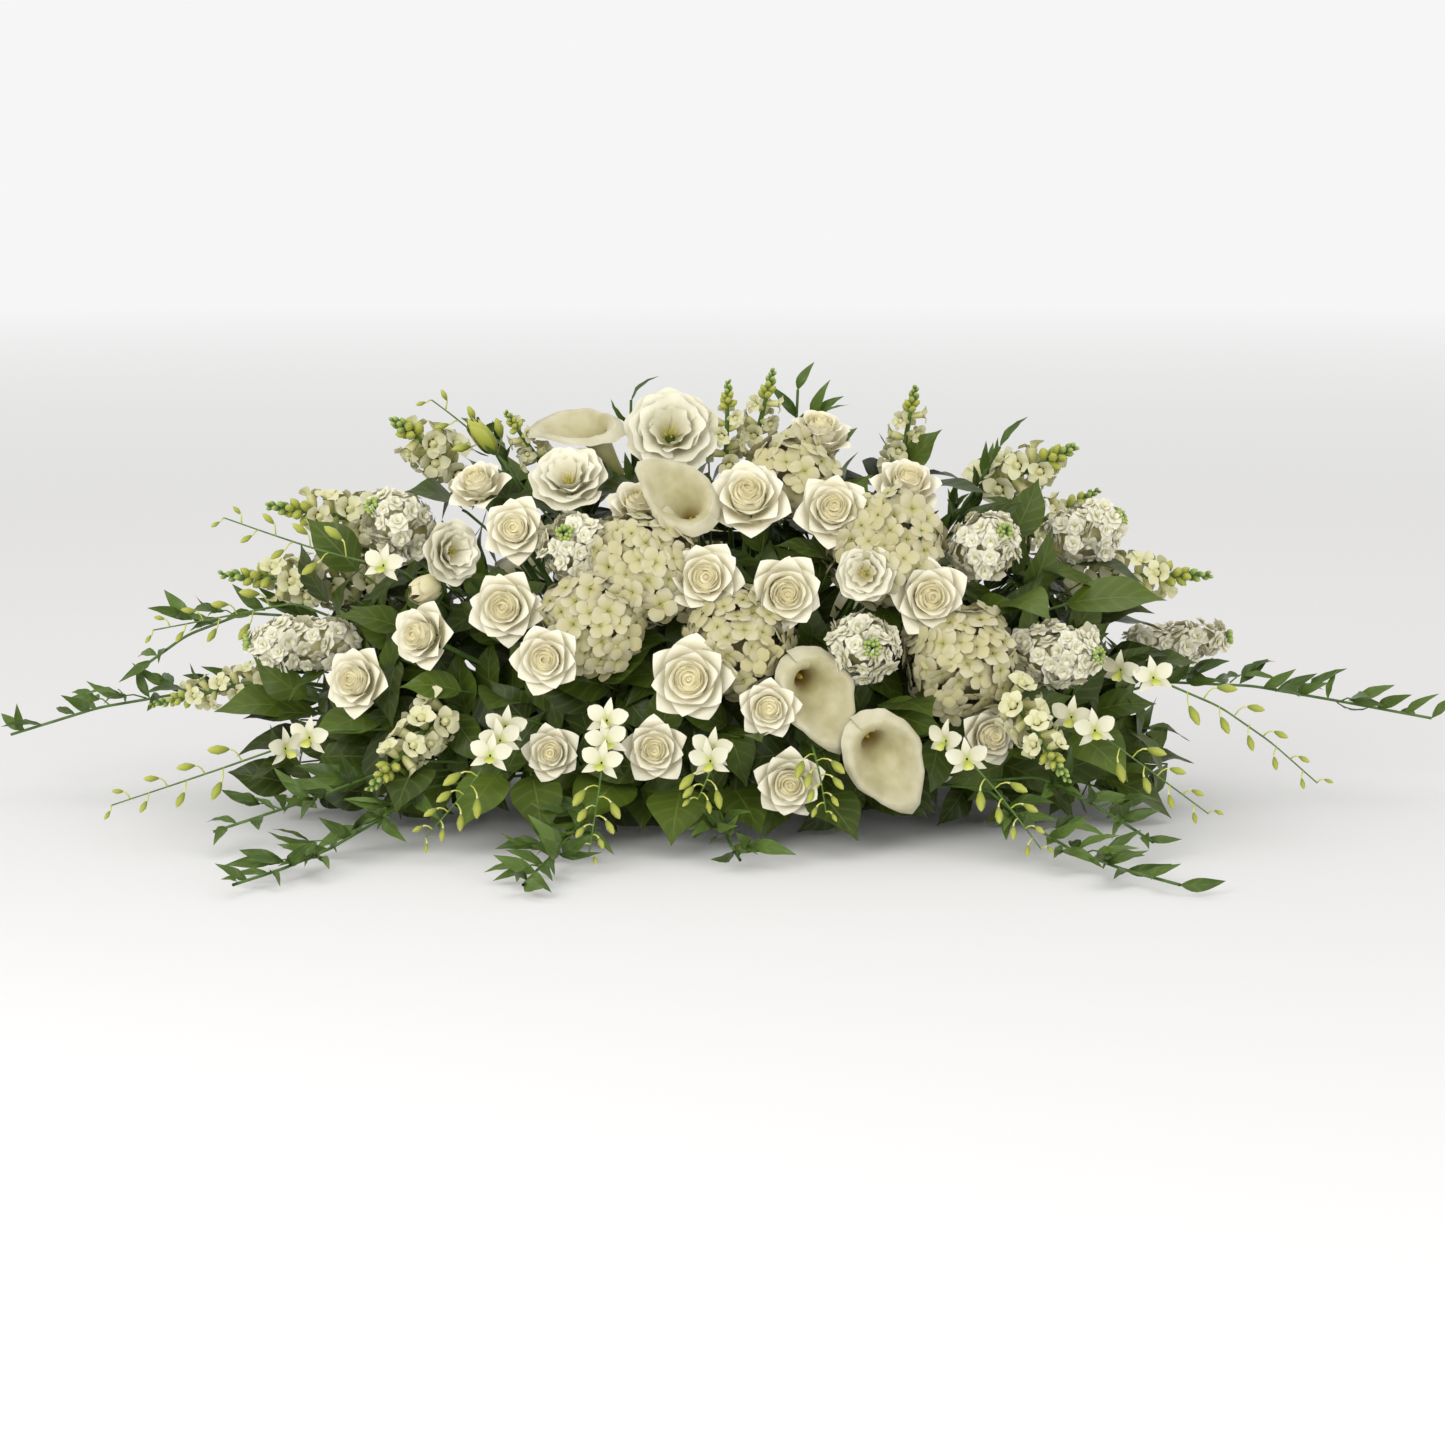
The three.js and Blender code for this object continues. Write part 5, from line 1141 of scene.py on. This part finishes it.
# Heads to keep vine leaves off, with how far their middles lie before their feet, in radii
middles = {"rose": 0.5, "lisianthus": 0.5, "calla": 1.5, "hydrangea": 0, "stock": 0}
clear = [(h["foot"], h["face"], h["r"], middles[plant["kind"]])
         for plant in plants if plant["kind"] in middles for h in plant["heads"]]
FEET, FACES, RADII, MIDDLES = [np.array(column) for column in zip(*clear)]
SIDE_BUDS = {
    "lisianthus_01": (on_dome(-322, 284, -24), heading(-34, -14), 38, 17, CREAM_BUDS),
    "lisianthus_03": (on_dome(-262, 424, -10), heading(-60, 50), 44, 12, BUDS),
}
for plant in plants:
    name, kind = plant["name"], plant["kind"]
    piece = Piece(name + "_fine")
    for points in plant["ways"]:
        way = rounded(points)
        radii = STEM[kind] * np.linspace(1, 0.45 if kind == "orchid" else 1, len(way))
        piece.add(rod(way, radii, 8), STEMS, rng.uniform(0.3, 0.8), ring=True)
    for h in plant["heads"]:
        def put(sheets, material, tone=0.5, **more):
            piece.add(sheets * h["r"], material, tone, h["turn"], h["foot"], **more)
        MAKERS[kind](put, h)
    if kind == "orchid":
        for spray in ORCHIDS[int(name[-1]) - 1]:
            add_spray(piece, *spray)
    if kind == "green":
        vines, broad = GREENS[name][:2]
        for way, leaves in vines:
            add_vine_leaves(piece, way, leaves)
        for root, turn, lift, long, wide in broad:
            direction = heading(turn, lift)
            face = unit([direction[0] / 5, direction[1], 0]) + [0, 0, 1.2]
            salal_leaf(piece, root - direction * 3, direction, face, long, wide)
        for branch, points in zip(plant["branches"], plant["ways"][-len(plant["branches"]):]):
            add_whorl(piece, *branch, unit(points[-2] - points[-1]))
    if name in SIDE_BUDS:
        side_bud(piece, plant, *SIDE_BUDS[name])
    piece.finish(name)
spots = fill_places(260)
fill("fill_leaves_front", spots[:115] + [spot for spot in spots[115:] if abs(spot[0]) > 330][:40], False)
fill("fill_leaves_rear", [(x, z, depth + 50) for x, z, depth in fill_places(90)], True)
for name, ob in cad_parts.items():
    if name == "saddle" or name.startswith("foam"):
        ob.data.materials.clear()
        ob.data.materials.append(PLASTIC if name == "saddle" else FOAM)

# Floor, light and camera
floor_mesh = bpy.data.meshes.new("floor")
floor_mesh.from_pydata([(-60, -60, 0), (60, -60, 0), (60, 60, 0), (-60, 60, 0)], [], [(0, 1, 2, 3)])
paint = Look("floor_paint", 0.9, 0)
place = paint.node("ShaderNodeTexCoord").outputs["Object"]
far = paint.node("ShaderNodeVectorMath", [("operation", "LENGTH")], Vector=place).outputs["Value"]
# The floor is painted from light grey near the flowers to white far off: painted light that makes the far
# floor as bright as the background, so that no horizon shows.
paint.colour(paint.ramp(paint.maths("MULTIPLY", far, 0.05), [(0.05, 0xE2E1E0), (0.9, 0xFFFFFF)]))
floor_mesh.materials.append(paint.material)
floor = placed("floor", floor_mesh)

world = bpy.data.worlds.new("studio")
world.use_nodes = True
background = world.node_tree.nodes["Background"]
background.inputs["Color"].default_value = (1, 1, 1, 1)
background.inputs["Strength"].default_value = 0.92
scene.world = world

for name, place, target, size, power in (
    ("key", (-1.7, -3, 1.5), (0, 0, 0.25), (1.8, 1.2), 44),
    ("fill", (2, -3.2, 0.9), (0, 0, 0.25), (2, 1.2), 22),
    ("top", (0, 0.8, 3), (0, 0, 0.2), (2.4, 1.6), 10),
):
    light = bpy.data.lights.new(name, "AREA")
    light.shape = "RECTANGLE"
    light.size, light.size_y = size
    light.energy = power
    ob = placed(name, light)
    ob.location = place
    ob.rotation_euler = (Vector(target) - Vector(place)).to_track_quat("-Z", "Y").to_euler()

camera = bpy.data.cameras.new("camera")
camera.sensor_width = 36
camera.lens = 83.04
scene.camera = placed("camera", camera)
scene.camera.location = [0.003, 0, 0.094] + 4 * FRONT
scene.camera.rotation_euler = (radians(90 - VIEW), 0, 0)
scene.view_settings.view_transform = "Standard"
